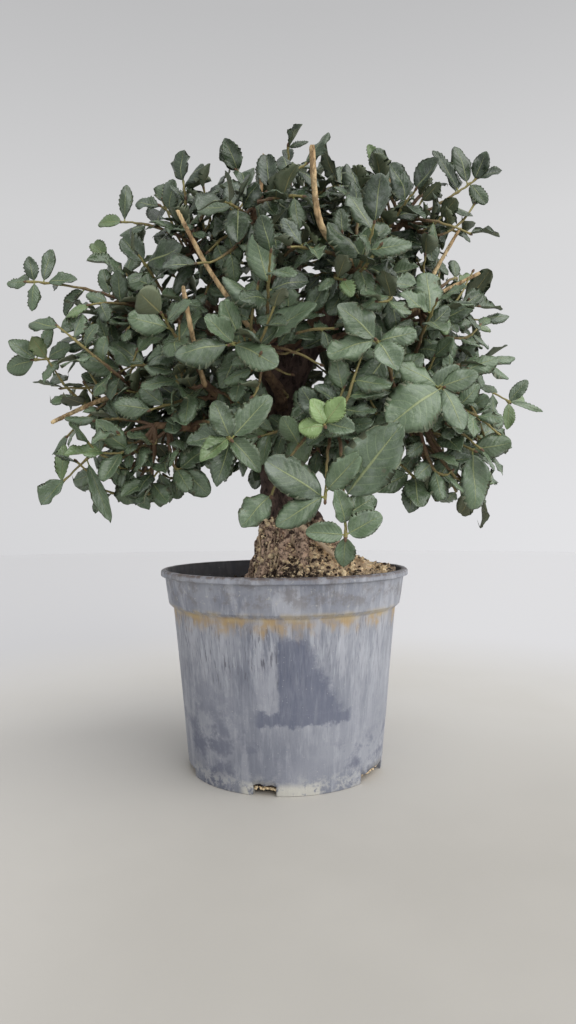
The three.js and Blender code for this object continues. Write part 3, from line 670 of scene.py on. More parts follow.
def grow_placed_leaf(twig, shoot, k, foot, tip, width):
    places = [0.99 * j / TWIG_SEARCH for j in range(TWIG_SEARCH + 1)]
    place = min(places, key=lambda t: math.dist(twig.at(t), foot))
    base = twig.at(place)
    reach = vec(*tip) - base
    random = draws(shoot * 1000 + k)
    face = vec(0.4 * (random() - 0.5), -0.9, 0.15 + 0.3 * random())
    leaf = Leaf(shoot, base, unit(reach), face, math.sqrt(reach @ reach), width, shoot * 1000 + k)
    leaf.trace()
    leaf.place = place
    blades.add(leaf)


def stub_limbs():
    made = []
    for name, foot, end, radius in STUBS:
        root = nearest_wood(foot)
        tip = vec(*end)
        knee = lerp(lerp(root, tip, 0.5), vec(*foot), 0.5)
        made.append(Limb(name, [root, knee, tip], [radius * 1.3, radius * 1.15, radius]))
    return made


def grow_shoots():
    keys = ("name", "tip", "count", "length", "width", "arch", "placed")
    shoots = [dict(zip(keys, row)) for row in PLACED]
    for k, tip in enumerate(crown_tips(RULE_SHOOTS, CROWN_FLOOR)):
        crowded = any(math.dist(s["tip"], tip) < SHOOT_SPACING for s in shoots)
        if crowded or len(shoots) >= MOST_SHOOTS:
            continue
        random = draws(SEEDS["rule_shoot"] + k)
        length = lerp(19, 26, random())
        width = length * lerp(0.54, 0.68, random())
        count = 5 if tip[1] > 25 else 6
        row = (f"crown_{k:02d}", tip, count, length, width, RULE_ARCH, ())
        shoots.append(dict(zip(keys, row)))
    for i, shoot in enumerate(shoots):
        tip = vec(*shoot["tip"])
        shoot["twig"] = grow_twig(shoot["name"], nearest_wood(tip), tip, shoot["arch"])
        stems.add(shoot["twig"], i)
        for k, row in enumerate(shoot["placed"]):
            grow_placed_leaf(shoot["twig"], i, k, *row)
    for i, shoot in enumerate(shoots):
        for k in range(shoot["count"]):
            grow_leaf(shoot["twig"], i, k, shoot["count"], shoot["length"], shoot["width"])
    return shoots


GAP_LEAVES = {"most": 62, "first": 15, "size": (27, 17)}
GAP_PLACES = (0.2, 0.35, 0.5, 0.65, 0.8, 0.92)
STUB_VIEW = 9


def is_in_crown(point):
    rise = CROWN["rise"] if point[2] > CROWN["z"] else CROWN["drop"]
    height = (point[2] - CROWN["z"]) / rise
    stoop = CROWN["stoop"] * max(0, -point[1]) * max(0, height) / rise
    aside = (point[0] - CROWN["x"]) / CROWN["width"]
    behind = (point[1] - CROWN["y"]) / CROWN["depth"]
    out = vec(aside, behind, height + stoop)
    return math.sqrt(out @ out) < 1


def hides_a_stub(point):
    """Pruning left the stubs in the open, so no leaf grows right in front of one."""
    for x, y, z in open_stubs:
        if math.hypot(point[0] - x, point[2] - z) < STUB_VIEW and point[1] < y:
            return True
    return False


def fill_gaps(shoots):
    """Wider leaves fill the crown where the others leave most room, but not in front of a stub."""
    tries, spots = [], []
    for i, shoot in enumerate(shoots):
        for j, place in enumerate(GAP_PLACES):
            k = GAP_LEAVES["first"] + j
            for attempt in range(LEAF_TRIES):
                leaf = leaf_try(shoot["twig"], i, k, place, LEAF_LEAN, attempt, *GAP_LEAVES["size"])
                if not is_in_crown(leaf.point(leaf.length, 0, 0)) or not leaf_is_clear(leaf):
                    continue
                if not hides_a_stub(leaf.middle):
                    tries.append(leaf)
                    spots.append(i * len(GAP_PLACES) + j)
    spots = np.array(spots)
    middles = np.array([leaf.middle for leaf in tries])
    rooms = np.linalg.norm(middles[:, None] - blades.table["middle"], axis=2).min(axis=1)
    grown = 0
    while grown < GAP_LEAVES["most"] and rooms.max() > 0:
        best = int(rooms.argmax())
        if not leaf_is_clear(tries[best]):
            rooms[best] = 0
            continue
        blades.add(tries[best])
        grown += 1
        rooms = np.minimum(rooms, np.linalg.norm(middles - middles[best], axis=1))
        rooms[spots == spots[best]] = 0


stubs = stub_limbs()
open_stubs = [limb.at(t) for limb in stubs for t in (0.5, 0.65, 0.8, 0.95)]
for stub in stubs:
    stems.add(stub)
shoots = grow_shoots()
fill_gaps(shoots)

# More foliage inside the crown and at its sides, grown by the same rule. Each row is a lump's middle,
# half width, half depth, rise, drop, number of twigs and the share of the way out where they may end
LUMPS = (
    ((9, 0, 258), 108, 104, 122, 68, 215, 0.45),
    ((-112, -18, 268), 44, 40, 46, 46, 24, 0.2),
    ((-92, -38, 202), 42, 34, 26, 34, 22, 0.2),
    ((104, -42, 202), 36, 30, 28, 32, 22, 0.2),
    ((116, 0, 286), 28, 40, 40, 36, 12, 0.2),
    ((100, -16, 346), 30, 26, 28, 28, 10, 0.2),
    ((36, -16, 364), 40, 34, 20, 24, 16, 0.2),
    ((-46, -16, 358), 34, 28, 20, 22, 16, 0.2),
)
LUMP_TURN = 1.3
FILL_LEAVES = 7
FILL_ROOM = 0.35
FILL_INDEX = 400


def lump_tips():
    tips = []
    for middle, width, depth, rise, drop, count, inner in LUMPS:
        for height, turn in spiral(count):
            random = draws(SEEDS["lump_tip"] + len(tips))
            turn += LUMP_TURN
            ring = (1 - height * height) ** 0.45
            share = lerp(inner, 1.0, random() ** 0.6)
            x = middle[0] + width * share * ring * math.cos(turn)
            y = middle[1] + depth * share * ring * math.sin(turn)
            z = middle[2] + (rise if height > 0 else drop) * share * height
            tips.append(vec(x, y, z - CROWN["stoop"] * max(0, -y) * max(0, height)))
    return tips


# The middle of an opening in the front of the crown, with its half width and half height
WINDOW = {"x": 5, "z": 240, "width": 23, "height": 21, "back": 10}


def is_in_window(point):
    aside = (point[0] - WINDOW["x"]) / WINDOW["width"]
    above = (point[2] - WINDOW["z"]) / WINDOW["height"]
    return math.hypot(aside, above) < 1 and point[1] < WINDOW["back"]


def grow_fill():
    made = []
    roots = [limb.at(p) for limb in LIMBS[1:] for p in (0.3, 0.5, 0.7, 0.9, 1)]
    for k, tip in enumerate(lump_tips()):
        random = draws(SEEDS["fill_shoot"] + k)
        best = min(roots, key=lambda q: math.dist(q, tip))
        twig = grow_twig("fill", best, tip, 0.06)
        stems.add(twig, FILL_INDEX + k)
        length = lerp(14, 23, random())
        width = length * lerp(0.5, 0.68, random())
        made.append(dict(twig=twig, index=FILL_INDEX + k, length=length, width=width))
    for shoot in made:
        for k in range(FILL_LEAVES):
            before = len(blades.all)
            size = (shoot["length"], shoot["width"])
            grow_leaf(shoot["twig"], shoot["index"], k, FILL_LEAVES, *size, FILL_ROOM, 0.25, level=True)
            middle = blades.all[-1].middle
            if len(blades.all) > before and (hides_a_stub(middle) or is_in_window(middle)):
                blades.drop_last()
    return made


fills = grow_fill()


def rgb(*levels):
    """A colour given in screen values from 0 to 255."""
    shares = [level / 255 for level in levels]
    return tuple(c / 12.92 if c <= 0.04045 else ((c + 0.055) / 1.055) ** 2.4 for c in shares) + (1.0,)


def put(tree, socket, value):
    """Gives a node's input a number or a colour, or links it to a field."""
    if isinstance(value, Field):
        tree.links.new(value.socket, socket)
    else:
        socket.default_value = value


def add_node(tree, kind, inputs=(), out=0, **settings):
    """Adds a node. Its inputs are given by their order or by name, and one output is handed back."""
    node = tree.nodes.new("ShaderNode" + kind)
    for key, value in settings.items():
        setattr(node, key, value)
    for key, value in inputs.items() if isinstance(inputs, dict) else enumerate(inputs):
        put(tree, node.inputs[key], value)
    return Field(tree, node.outputs[out])


class Field:
    """A value that varies over a surface. Plain arithmetic on it adds the nodes that work it out."""

    def __init__(self, tree, socket):
        self.tree = tree
        self.socket = socket

    def math(self, operation, *others):
        return add_node(self.tree, "Math", (self, *others), operation=operation)

    def __add__(self, other):
        return self.math("ADD", other)

    def __sub__(self, other):
        return self.math("SUBTRACT", other)

    def __mul__(self, other):
        return self.math("MULTIPLY", other)

    def __truediv__(self, other):
        return self.math("DIVIDE", other)

    def __abs__(self):
        return self.math("ABSOLUTE")

    def step(self, low, high, out_low=0.0, out_high=1.0):
        """Goes smoothly from one output to the other while the value goes from low to high."""
        values = (self, low, high, out_low, out_high)
        return add_node(self.tree, "MapRange", values, interpolation_type="SMOOTHSTEP")

    def split(self):
        """The parts of a vector along the three axes."""
        node = self.tree.nodes.new("ShaderNodeSeparateXYZ")
        put(self.tree, node.inputs[0], self)
        return [Field(self.tree, socket) for socket in node.outputs]


class Look:
    """Builds one material, whose base colour is painted over step by step."""

    def __init__(self, name, ior, stretch=(1, 1, 1)):
        self.material = bpy.data.materials.new(name)
        self.material.use_nodes = True
        self.tree = self.material.node_tree
        self.shader = self.tree.nodes["Principled BSDF"]
        self.shader.inputs["IOR"].default_value = ior
        self.place = self.stretched(*stretch)
        self.base = None

    def stretched(self, *stretch):
        """The point of the surface in millimetres, stretched along the axes."""
        at = add_node(self.tree, "TexCoord", out="Object")
        size = tuple(1000 * s for s in stretch)
        return add_node(self.tree, "VectorMath", (at, size), operation="MULTIPLY")

    def attribute(self, name, out="Fac"):
        return add_node(self.tree, "Attribute", out=out, attribute_name=name)

    def noise(self, size, detail=4.0, rough=0.55, bend=0.0, at=None):
        inputs = {"Scale": 1 / size, "Detail": detail, "Roughness": rough, "Distortion": bend}
        return add_node(self.tree, "TexNoise", {"Vector": at or self.place, **inputs}, "Fac")

    def cells(self, size, feature="F1"):
        inputs = {"Vector": self.place, "Scale": 1 / size}
        return add_node(self.tree, "TexVoronoi", inputs, "Distance", feature=feature)

    def mix(self, share, a, b):
        return add_node(self.tree, "Mix", {0: share, 6: a, 7: b}, 2, data_type="RGBA")

    def paint(self, share, colour):
        """Lays a colour over the base colour, by the share given."""
        self.base = self.mix(share, self.base, colour)

    def finish(self, relief, depth, rough):
        """Sets the base colour, the relief, which is `depth` millimetres deep, and the roughness."""
        bump = {"Height": relief, "Distance": depth * MM, "Strength": 1.0}
        put(self.tree, self.shader.inputs["Base Color"], self.base)
        put(self.tree, self.shader.inputs["Normal"], add_node(self.tree, "Bump", bump))
        put(self.tree, self.shader.inputs["Roughness"], rough)
        return self.material


SIDE_VEINS = 8.0


def leaf_look(under):
    look = Look("leaf underside" if under else "leaf", 1.52)
    along, across, _ = look.attribute("leaf_at", "Vector").split()
    tone, dust, young = [look.attribute(name) for name in ("tone", "dust", "young")]
    aside = abs(across)

    # The midrib is thin and fades towards the tip, and side veins run forward from it
    rib = (aside / (along * -0.05 + 0.085)).step(1.0, 0.35)
    other_side = across.math("GREATER_THAN", 0.0) * 0.45
    forward = aside.math("POWER", 1.3) * 1.9
    phase = (along * SIDE_VEINS - forward + 20.0 + other_side).math("FRACT")
    from_vein = abs(phase - 0.5)
    vein = from_vein.step(0.075, 0.015) * aside.step(0.95, 0.5)
    mottle = look.noise(5.0, 5, 0.6)
    fine = look.noise(0.9, 3, 0.6)
    if under:
        # Painted shade darkens high leaves on this side too
        look.base = look.mix(tone, rgb(82, 92, 74), rgb(112, 118, 98))
        look.paint(mottle.step(0.35, 0.7), rgb(96, 100, 78))
        look.paint(young, rgb(150, 168, 116))
        look.paint(vein * 0.4, rgb(140, 142, 112))
        look.paint(rib * 0.75, rgb(168, 162, 112))
        return look.finish(rib + vein * 0.5 + fine * 0.3, 0.2, fine.step(0.2, 0.8, 0.55, 0.75))

    # Painted shade darkens high leaves, besides their random spread of colour
    look.base = look.mix(tone.step(-0.35, 1.0), rgb(23, 33, 29), rgb(99, 118, 93))
    look.paint(mottle.step(0.4, 0.7, 0.0, 0.55), rgb(68, 87, 64))
    look.paint(young, rgb(130, 156, 98))
    # Fine pale dust, and larger pale smears that are partly dust and partly painted sheen, lie over all
    # but young leaves
    dusty = look.noise(0.7, 5, 0.7).step(0.5, 0.78) * dust * 0.5
    smeared_dust_and_sheen = look.noise(7.0, 4, 0.55).step(0.45, 0.72) * dust * 0.5
    dust_and_sheen = (dusty + smeared_dust_and_sheen) * young.step(1.0, 0.3)
    look.paint(dust_and_sheen * 0.66, rgb(162, 170, 166))
    speck = look.cells(1.7).step(0.16, 0.06) * look.noise(3.5, 2).step(0.5, 0.62)
    look.paint(speck * 0.45, rgb(170, 172, 156))
    # Veins and margin stand out less on dark leaves
    clear = tone.step(-0.3, 0.8, 0.3, 1.0)
    net = look.cells(1.6, "DISTANCE_TO_EDGE").step(0.12, 0.02)
    look.paint(net * clear * 0.16, rgb(132, 148, 114))
    look.paint(vein * clear * 0.46, rgb(140, 156, 118))
    look.paint(aside.step(0.93, 0.99) * clear * 0.55, rgb(158, 164, 126))
    look.paint(rib * 0.66, rgb(160, 170, 118))
    relief = rib * -0.8 + from_vein * -0.7 + look.noise(3.5, 4) * 2.0 + fine * 0.15
    return look.finish(relief, 0.26, mottle.step(0.3, 0.7, 0.18, 0.3) + dust_and_sheen * 0.3)


def stalk_look(name, old, fresh, amount):
    """The skin of twigs and leaf stalks, old where `age` is 1 and fresh where it is 0."""
    look = Look(name, 1.4)
    mottle = look.noise(2.0, 5, 0.65)
    shade = look.attribute("age") + (mottle - 0.5) * 1.2
    look.base = look.mix(shade.step(0.2, 0.8), fresh, old)
    look.paint(look.noise(0.7, 3).step(0.45, 0.7, 0, amount), rgb(96, 70, 52))
    dots = look.cells(1.3).step(0.22, 0.08)
    look.paint(dots * 0.5, rgb(186, 164, 120))
    return look.finish(look.noise(0.8, 4) + dots * 0.6, 0.25, mottle.step(0.2, 0.8, 0.5, 0.75))


LEAF_LOOKS = (
    leaf_look(False),
    leaf_look(True),
    stalk_look("leaf stalk", rgb(148, 134, 84), rgb(146, 152, 92), 0.15),
    stalk_look("twig", rgb(104, 82, 64), rgb(146, 138, 88), 0.5),
)


class Soup:
    """Collects points, faces, the kind of each face and values at the points for one object."""

    def __init__(self):
        self.points = []
        self.faces = []
        self.kinds = []
        self.values = {}
        self.count = 0

    def add(self, points, faces, kinds, **values):
        self.points.append(points)
        self.faces.extend([[self.count + v for v in face] for face in faces])
        self.kinds.extend(kinds if isinstance(kinds, list) else [kinds] * len(faces))
        for name, value in values.items():
            full = np.zeros((len(points),) + np.shape(value)[1:]) + value
            self.values.setdefault(name, []).append((self.count, full))
        self.count += len(points)

    def build(self, name, looks, smooth=True):
        mesh = bpy.data.meshes.new(name)
        mesh.from_pydata((np.concatenate(self.points) * MM).tolist(), [], self.faces)
        for look in looks:
            mesh.materials.append(look)
        mesh.polygons.foreach_set("material_index", self.kinds)
        mesh.polygons.foreach_set("use_smooth", [smooth] * len(self.faces))
        for key, rows in self.values.items():
            vector = rows[0][1].ndim > 1
            full = np.zeros((self.count, 3) if vector else self.count)
            for start, value in rows:
                full[start : start + len(value)] = value
            layer = mesh.attributes.new(key, "FLOAT_VECTOR" if vector else "FLOAT", "POINT")
            layer.data.foreach_set("vector" if vector else "value", full.ravel())
        mesh.update()
        mesh.validate()
        made = bpy.data.objects.new(name, mesh)
        bpy.context.scene.collection.objects.link(made)
        return made


def ring_faces(rings, sides, closed_start=True, closed_end=True):
    """Faces of a tube of rings that all have the same number of points, seen from outside."""
    faces = []
    for r in range(rings - 1):
        for k in range(sides):
            q = (k + 1) % sides
            faces.append([r * sides + k, r * sides + q, (r + 1) * sides + q, (r + 1) * sides + k])
    if closed_start:
        faces.append(list(range(sides))[::-1])
    if closed_end:
        faces.append([(rings - 1) * sides + k for k in range(sides)])
    return faces


UPPER, UNDER, STALK, TWIG = range(4)
STALK_RADIUS = 0.5
BLADE_THICKNESS = 0.34
TEETH_FROM = 0.13
TEETH_TO = 0.93
TOOTH_AT = 0.7
# At a tooth's foot (-1), on the plain margin (0) and at a tooth's tip (1)
TOOTH_DIP = {-1: -0.5, 0: 0}
TOOTH_LIFT = {-1: -0.6, 0: 0.0, 1: 1.0}
# Leaves above the first height are more folded and get painted shade, fully so from the second height up
HIGH_FROM = 270
HIGH_BY = 380


def blade_rows(teeth):
    """Places along the blade with a row of points, with 1 at a tooth's tip and -1 at its foot."""
    rows = [(0.0, 0), (0.03, 0), (0.075, 0)]
    pitch = (TEETH_TO - TEETH_FROM) / teeth
    for k in range(teeth):
        rows.append((TEETH_FROM + pitch * k, -1))
        rows.append((TEETH_FROM + pitch * (k + TOOTH_AT), 1))
    return rows + [(TEETH_TO, -1), (0.975, 0)]


def add_leaf(soup, leaf, base, detail, dust, young):
    """One closed surface: a round stalk that spreads into a thin blade with a toothed, wavy margin."""
    random = draws(SEEDS["leaf_form"] + leaf.seed)
    columns = detail["columns"]
    sides = 2 * columns
    length = leaf.length
    half = leaf.width / 2
    stalk = lerp(0.07, 0.1, random())
    high = within((base[2] - HIGH_FROM) / (HIGH_BY - HIGH_FROM))
    tooth = lerp(0.12, 0.5, random()) * (1 + 0.5 * high) / half
    ripple = lerp(0.05, 0.4, random()) * min(1 / half, 7 / half**2)
    fold = lerp(-0.12, 0.5, random()) + 0.5 * high * random()
    curl = lerp(0.0, 0.6, random()) if random() < 0.75 else -0.35
    crumple = lerp(0.05, 0.19, random())
    teeth = detail["teeth"] + int(random() * 2.99) - 1
    twist = lerp(-0.35, 0.35, random())
    cycles = lerp(1.4, 2.6, random())
    wave = min(leaf.wave * lerp(1.0, 2.4, random()), 2.2)
    phases = (6.28 * random(), 6.28 * random())
    peak = lerp(0.72, 0.95, random())
    round_to = lerp(0.48, 0.78, random())
    spread = np.array([2 * j / columns - 1 for j in range(columns + 1)])
    spread = np.sign(spread) * np.abs(spread) ** 0.85
    turns = np.array([math.pi * (1 - j / columns) for j in range(columns + 1)])
    points, places = [], []

    def ring(u, across, height, thick, t):
        """Points across the top from left to right and back along the underside."""
        s = u / length
        middle = -leaf.arch * length * s * s
        for j in list(range(columns + 1)) + list(range(columns - 1, 0, -1)):
            top = len(points) % sides <= columns
            lift = height[j] + (thick[j] if top else -thick[j])
            lifted = leaf.face * (middle[j] + lift)
            points.append(base + leaf.along * u[j] + leaf.across * across[j] + lifted)
            places.append((t, spread[j], 0))

    flat = np.zeros(columns + 1)
    for u, radius in ((0.0, 1.15), (0.35 * stalk * length, 0.9)):
        r = STALK_RADIUS * radius
        ring(flat + u, r * np.cos(turns), flat, r * np.sin(turns), 0.0)
    rows = blade_rows(teeth)
    for t, kind in rows:
        width = max(math.sin(math.pi * t**peak), 0.0) ** round_to
        push = np.ones(columns + 1)
        for side in (0, columns):
            reach = lerp(0.6, 1.3, random()) if kind == 1 else TOOTH_DIP[kind]
            push[side] += tooth * reach
        across = spread * push * max(half * width, STALK_RADIUS * 0.9)
        away = np.abs(spread)
        u = length * (stalk + (1 - stalk) * (t + 0.07 * width * away**1.4))
        phase = np.where(spread < 0, *phases)
        height = fold * half * width * away - curl * half * width * away**2.5
        height = height + wave * np.sin(2 * math.pi * cycles * t + phase) * away**2 * width
        height = height + twist * across * t
        height = height + crumple * half * width * np.sin(5.2 * t + 2.6 * spread + phases[0])
        height = height + ripple * half * width * away**3 * TOOTH_LIFT[kind]
        rib = 0.28 * (1 - t) * (away < 0.05)
        thick = 0.5 * BLADE_THICKNESS * np.sqrt(np.clip(1 - away**2, 0, 1)) + rib
        if t == 0:
            thick = STALK_RADIUS * 0.8 * np.sin(turns)
        ring(u, across, height, thick, t)
    points.append(leaf.point(length, 0, 0))
    places.append((1, 0, 0))
    rings = len(rows) + 2
    faces = ring_faces(rings, sides, True, False)
    last = (rings - 1) * sides
    faces += [[last + k, last + (k + 1) % sides, rings * sides] for k in range(sides)]
    strip = [UPPER] * columns + [UNDER] * columns
    kinds = [STALK] * (2 * sides) + strip * (rings - 3) + [STALK] + strip
    # Faces run with the blade's upper side outwards
    faces = [face[::-1] for face in faces]
    # Each leaf's colour share spreads at random, and painted shade lowers it on high leaves
    tone = 1.1 * random() * (1 - 0.7 * high) + 0.12 - 0.45 * high
    values = {"tone": tone, "dust": dust, "young": young, "age": 0.6 * random()}
    soup.add(np.array(points), faces, kinds, leaf_at=np.array(places), **values)


def frames_along(points):
    """A pair of directions across the line at each of its points."""
    overall = unit(points[-1] - points[0])
    reference = UP if abs(overall[2]) < 0.8 else vec(1, 0, 0)
    sides, overs = [], []
    for k in range(len(points)):
        ahead = unit(points[min(k + 1, len(points) - 1)] - points[max(k - 1, 0)])
        side = unit(cross(ahead, reference))
        sides.append(side)
        overs.append(cross(side, ahead))
    return np.array(sides), np.array(overs)


def add_tube(soup, points, radii, sides, kind=0, **values):
    points = np.asarray(points, float)
    across, over = frames_along(points)
    turns = (2 * math.pi * np.arange(sides) / sides)[None, :, None]
    around = np.cos(turns) * across[:, None, :] + np.sin(turns) * over[:, None, :]
    ring_points = points[:, None, :] + around * np.asarray(radii)[:, None, None]
    rows = {key: np.repeat(value, sides) if np.ndim(value) else value for key, value in values.items()}
    soup.add(ring_points.reshape(-1, 3), ring_faces(len(points), sides), kind, **rows)


SHOOT_DETAIL = {"columns": 6, "teeth": 7, "rings": 22, "sides": 7}
FILL_DETAIL = {"columns": 4, "teeth": 4, "rings": 12, "sides": 5}


def twig_point(twig, s):
    """The twig's smooth curve through its three points."""
    root, middle, tip = twig.points
    return bowed(root, tip, middle - (root + tip) / 2, s)


def add_shoot(soup, twig, leaves, seed, detail, young):
    random = draws(seed)
    rings = detail["rings"]
    shares = np.linspace(0, 1, rings)
    points = np.array([twig_point(twig, s) for s in shares])
    sway = np.array([random() - 0.5 for _ in range(3 * rings)]).reshape(-1, 3)
    sway[0] = sway[-1] = 0
    points += sway * 0.7
    radii = np.array([TWIG_RADIUS * lerp(0.85, 0.38, s) for s in shares])
    for leaf in leaves:
        radii += 0.28 * np.exp(-(((shares - leaf.place) * rings / 0.45) ** 2))
    # The line ends in a small pointed bud
    ahead = unit(points[-1] - points[-2])
    bud = [points[-1] + ahead * d for d in (0.6, 1.5, 2.4, 2.9)]
    points = np.vstack([points, bud])
    radii = np.concatenate([radii, [0.85, 0.9, 0.55, 0.12]])
    age = np.concatenate([1 - 0.85 * shares, [0.9, 1, 0.9, 0.8]])
    add_tube(soup, points, radii, detail["sides"], TWIG, age=age)
    for leaf in leaves:
        base = twig_point(twig, leaf.place)
        dust = lerp(0.1, 1.0, random())
        fresh = 0.5 if leaf.place > 0.9 and random() < 0.09 else 0.12 * random()
        if young and leaf.place > 0.93:
            fresh = 0.95
        add_leaf(soup, leaf, base, detail, dust, fresh)


def leaves_of(index):
    return [leaf for leaf in blades.all if leaf.shoot == index]


for i, shoot in enumerate(shoots):
    soup = Soup()
    seed = SEEDS["shoot_form"] + i
    add_shoot(soup, shoot["twig"], leaves_of(i), seed, SHOOT_DETAIL, shoot["name"] == "young_leaves")
    piece = soup.build("leafy_" + shoot["name"], LEAF_LOOKS)
    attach(piece, "root")
    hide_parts("shoot_" + shoot["name"])

FILL_SECTORS = 6
for sector in range(FILL_SECTORS):
    soup = Soup()
    for shoot in fills[sector::FILL_SECTORS]:
        index = shoot["index"]
        seed = SEEDS["fill_form"] + index
        add_shoot(soup, shoot["twig"], leaves_of(index), seed, FILL_DETAIL, False)
    piece = soup.build(f"inner_foliage_{sector + 1}", LEAF_LOOKS)
    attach(piece, "root")

# Trunk, roots, branches and stubs, melted into one skin
BARK_VOXEL = 1.15
STUB_SLIMMING = 0.8
TRUNK_SIDES = 48
WOOD_SIDES = 12


def smooth_line(points, radii, steps):
    """A curve through the points, with the radii eased between them."""
    n = len(points)
    out, sizes = [], []
    for k in range(n - 1):
        p0 = points[max(k - 1, 0)]
        p1, p2 = points[k], points[k + 1]
        p3 = points[min(k + 2, n - 1)]
        for j in range(steps):
            t = j / steps
            a = 2 * p1
            b = (p2 - p0) * t
            c = (2 * p0 - 5 * p1 + 4 * p2 - p3) * t * t
            d = (3 * p1 - p0 - 3 * p2 + p3) * t**3
            out.append(0.5 * (a + b + c + d))
            sizes.append(lerp(radii[k], radii[k + 1], t))
    out.append(points[-1])
    sizes.append(radii[-1])
    return np.array(out), np.array(sizes)


def trunk_radius(radius, z, turn):
    inside = (z - FLUTES["from"]) / (FLUTES["to"] - FLUTES["from"])
    fade = math.sin(math.pi * inside) if 0 < inside < 1 else 0
    flute = 0.5 - 0.5 * math.cos(FLUTES["count"] * turn + FLUTES["turn"])
    return radius * (1 - FLUTES["depth"] * fade * flute)


def add_trunk(soup):
    points, radii = smooth_line(LIMBS[0].points, LIMBS[0].radii, 8)
    rings = []
    for (x, y, z), radius in zip(points, radii):
        for k in range(TRUNK_SIDES):
            turn = 2 * math.pi * k / TRUNK_SIDES
            r = trunk_radius(radius, z, turn)
            rings.append((x + r * math.cos(turn), y + r * math.sin(turn), z))
    soup.add(np.array(rings), ring_faces(len(points), TRUNK_SIDES), 0)


def add_limb(soup, points, radii, steps, slimming=1.0, sides=WOOD_SIDES, **values):
    """A round limb along the smooth curve through the points."""
    line, radii = smooth_line(np.array(points, float), radii, steps)
    add_tube(soup, line, radii * slimming, sides, **values)


# Heading, length along the ground, start radius and how far the end dips
ROOTS = (
    (20, 30, 6, 4),
    (75, 34, 6.5, 6),
    (130, 28, 6, 5),
    (190, 26, 6, 4),
    (250, 27, 6, 4),
    (315, 24, 5.5, 4),
    (350, 20, 5, 3),
)
SHOULDER_ROOT = ((9, -8, 169), (16, -11, 166), (20.5, -12, 161), (21.5, -12, 154), (19, -14, 147))
SHOULDER_RADII = (2.4, 2.8, 3, 3, 2.4)


def soil_height(x, y):
    wide = SOIL["left"] if x < SOIL["x"] else SOIL["right"]
    dx = (x - SOIL["x"]) / wide
    dy = y / SOIL["depth"]
    return SOIL["level"] + SOIL["tilt"] * x + SOIL["heap"] * math.exp(-dx * dx - dy * dy)


def add_roots(soup):
    for heading, length, radius, dip in ROOTS:
        out = direction(heading, 0)
        points = []
        for s in (0, 0.25, 0.5, 0.75, 1):
            point = vec(3, 0, 0) + out * (9 + length * s)
            ground = soil_height(point[0], point[1])
            top = lerp(162, ground + 1.5 - dip * s, min(1, 1.5 * s))
            points.append(vec(point[0], point[1], top))
        add_limb(soup, points, [radius * lerp(1.1, 0.35, s / 4) for s in range(5)], 5)
    add_limb(soup, SHOULDER_ROOT, SHOULDER_RADII, 5)


def bake(made):
    """Puts what an object's modifiers make of its mesh in the place of the mesh."""
    bpy.context.view_layer.update()
    graph = bpy.context.evaluated_depsgraph_get()
    baked = bpy.data.meshes.new_from_object(made.evaluated_get(graph))
    made.modifiers.clear()
    old = made.data
    made.data = baked
    bpy.data.meshes.remove(old)
    return baked


soup = Soup()
add_trunk(soup)
add_roots(soup)
for limb in LIMBS[1:]:
    add_limb(soup, limb.points, limb.radii, 6)
for stub in stubs:
    add_limb(soup, stub.points, stub.radii, 6, STUB_SLIMMING)
wood = soup.build("bark_of_trunk_and_branches", ())
remesh = wood.modifiers.new("melt", "REMESH")
remesh.mode = "VOXEL"
remesh.voxel_size = BARK_VOXEL * MM
remesh.use_smooth_shade = True
smooth = wood.modifiers.new("smooth", "SMOOTH")
smooth.factor = 0.5
smooth.iterations = 2
melted = bake(wood)


def wood_values(points):
    """At each point the radius of the nearest wood, and whether it is a stub and a cut end."""
    girth = np.full(len(points), 99.0)
    nearest = np.full(len(points), 1e9)
    cut = np.zeros(len(points))
    pruned = np.zeros(len(points))
    for limb in LIMBS + stubs:
        for k in range(len(limb.points) - 1):
            a, b = limb.points[k], limb.points[k + 1]
            ab = b - a
            t = np.clip((points - a) @ ab / (ab @ ab), 0, 1)
            radius = lerp(limb.radii[k], limb.radii[k + 1], t)
            away = np.linalg.norm(points - (a + t[:, None] * ab), axis=1) - radius
            closer = away < nearest
            nearest[closer] = away[closer]
            girth[closer] = radius[closer]
            pruned[closer] = 1 if limb in stubs else 0
    for stub in stubs:
        along = unit(stub.points[-1] - stub.points[-2])
        beyond = (points - stub.points[-1]) @ along
        near = np.linalg.norm(points - stub.points[-1], axis=1) < 5
        cut[near & (beyond > -0.6)] = 1
    return girth, pruned, cut


def vectors_of(mesh, key):
    flat = np.zeros(len(mesh.vertices) * 3)
    mesh.vertices.foreach_get(key, flat)
    return flat.reshape(-1, 3)


# Where the root mass begins to be earthy, and over how much height
EARTH_TOP = 166
EARTH_FADE = 12


def bark_lift(point, size, low):
    """How far the bark stands out at a point: ridges, grain and lumps, and more at the root mass."""
    depth = min(size / 14, 1)
    ridged = Vector((point[0] / 5, point[1] / 5, point[2] / 14))
    lift = 1.5 * depth * (0.5 - abs(noise.noise(ridged))) - 0.4 * depth
    lift += 0.55 * (0.25 + 0.75 * depth) * noise.noise(Vector(point / 2.2))
    lift += (0.3 + 1.6 * depth) * noise.noise(Vector(point / 11))
    return lift + low * (3.2 * noise.noise(Vector(point / 7)) + 1.4 * noise.noise(Vector(point / 3.2)))


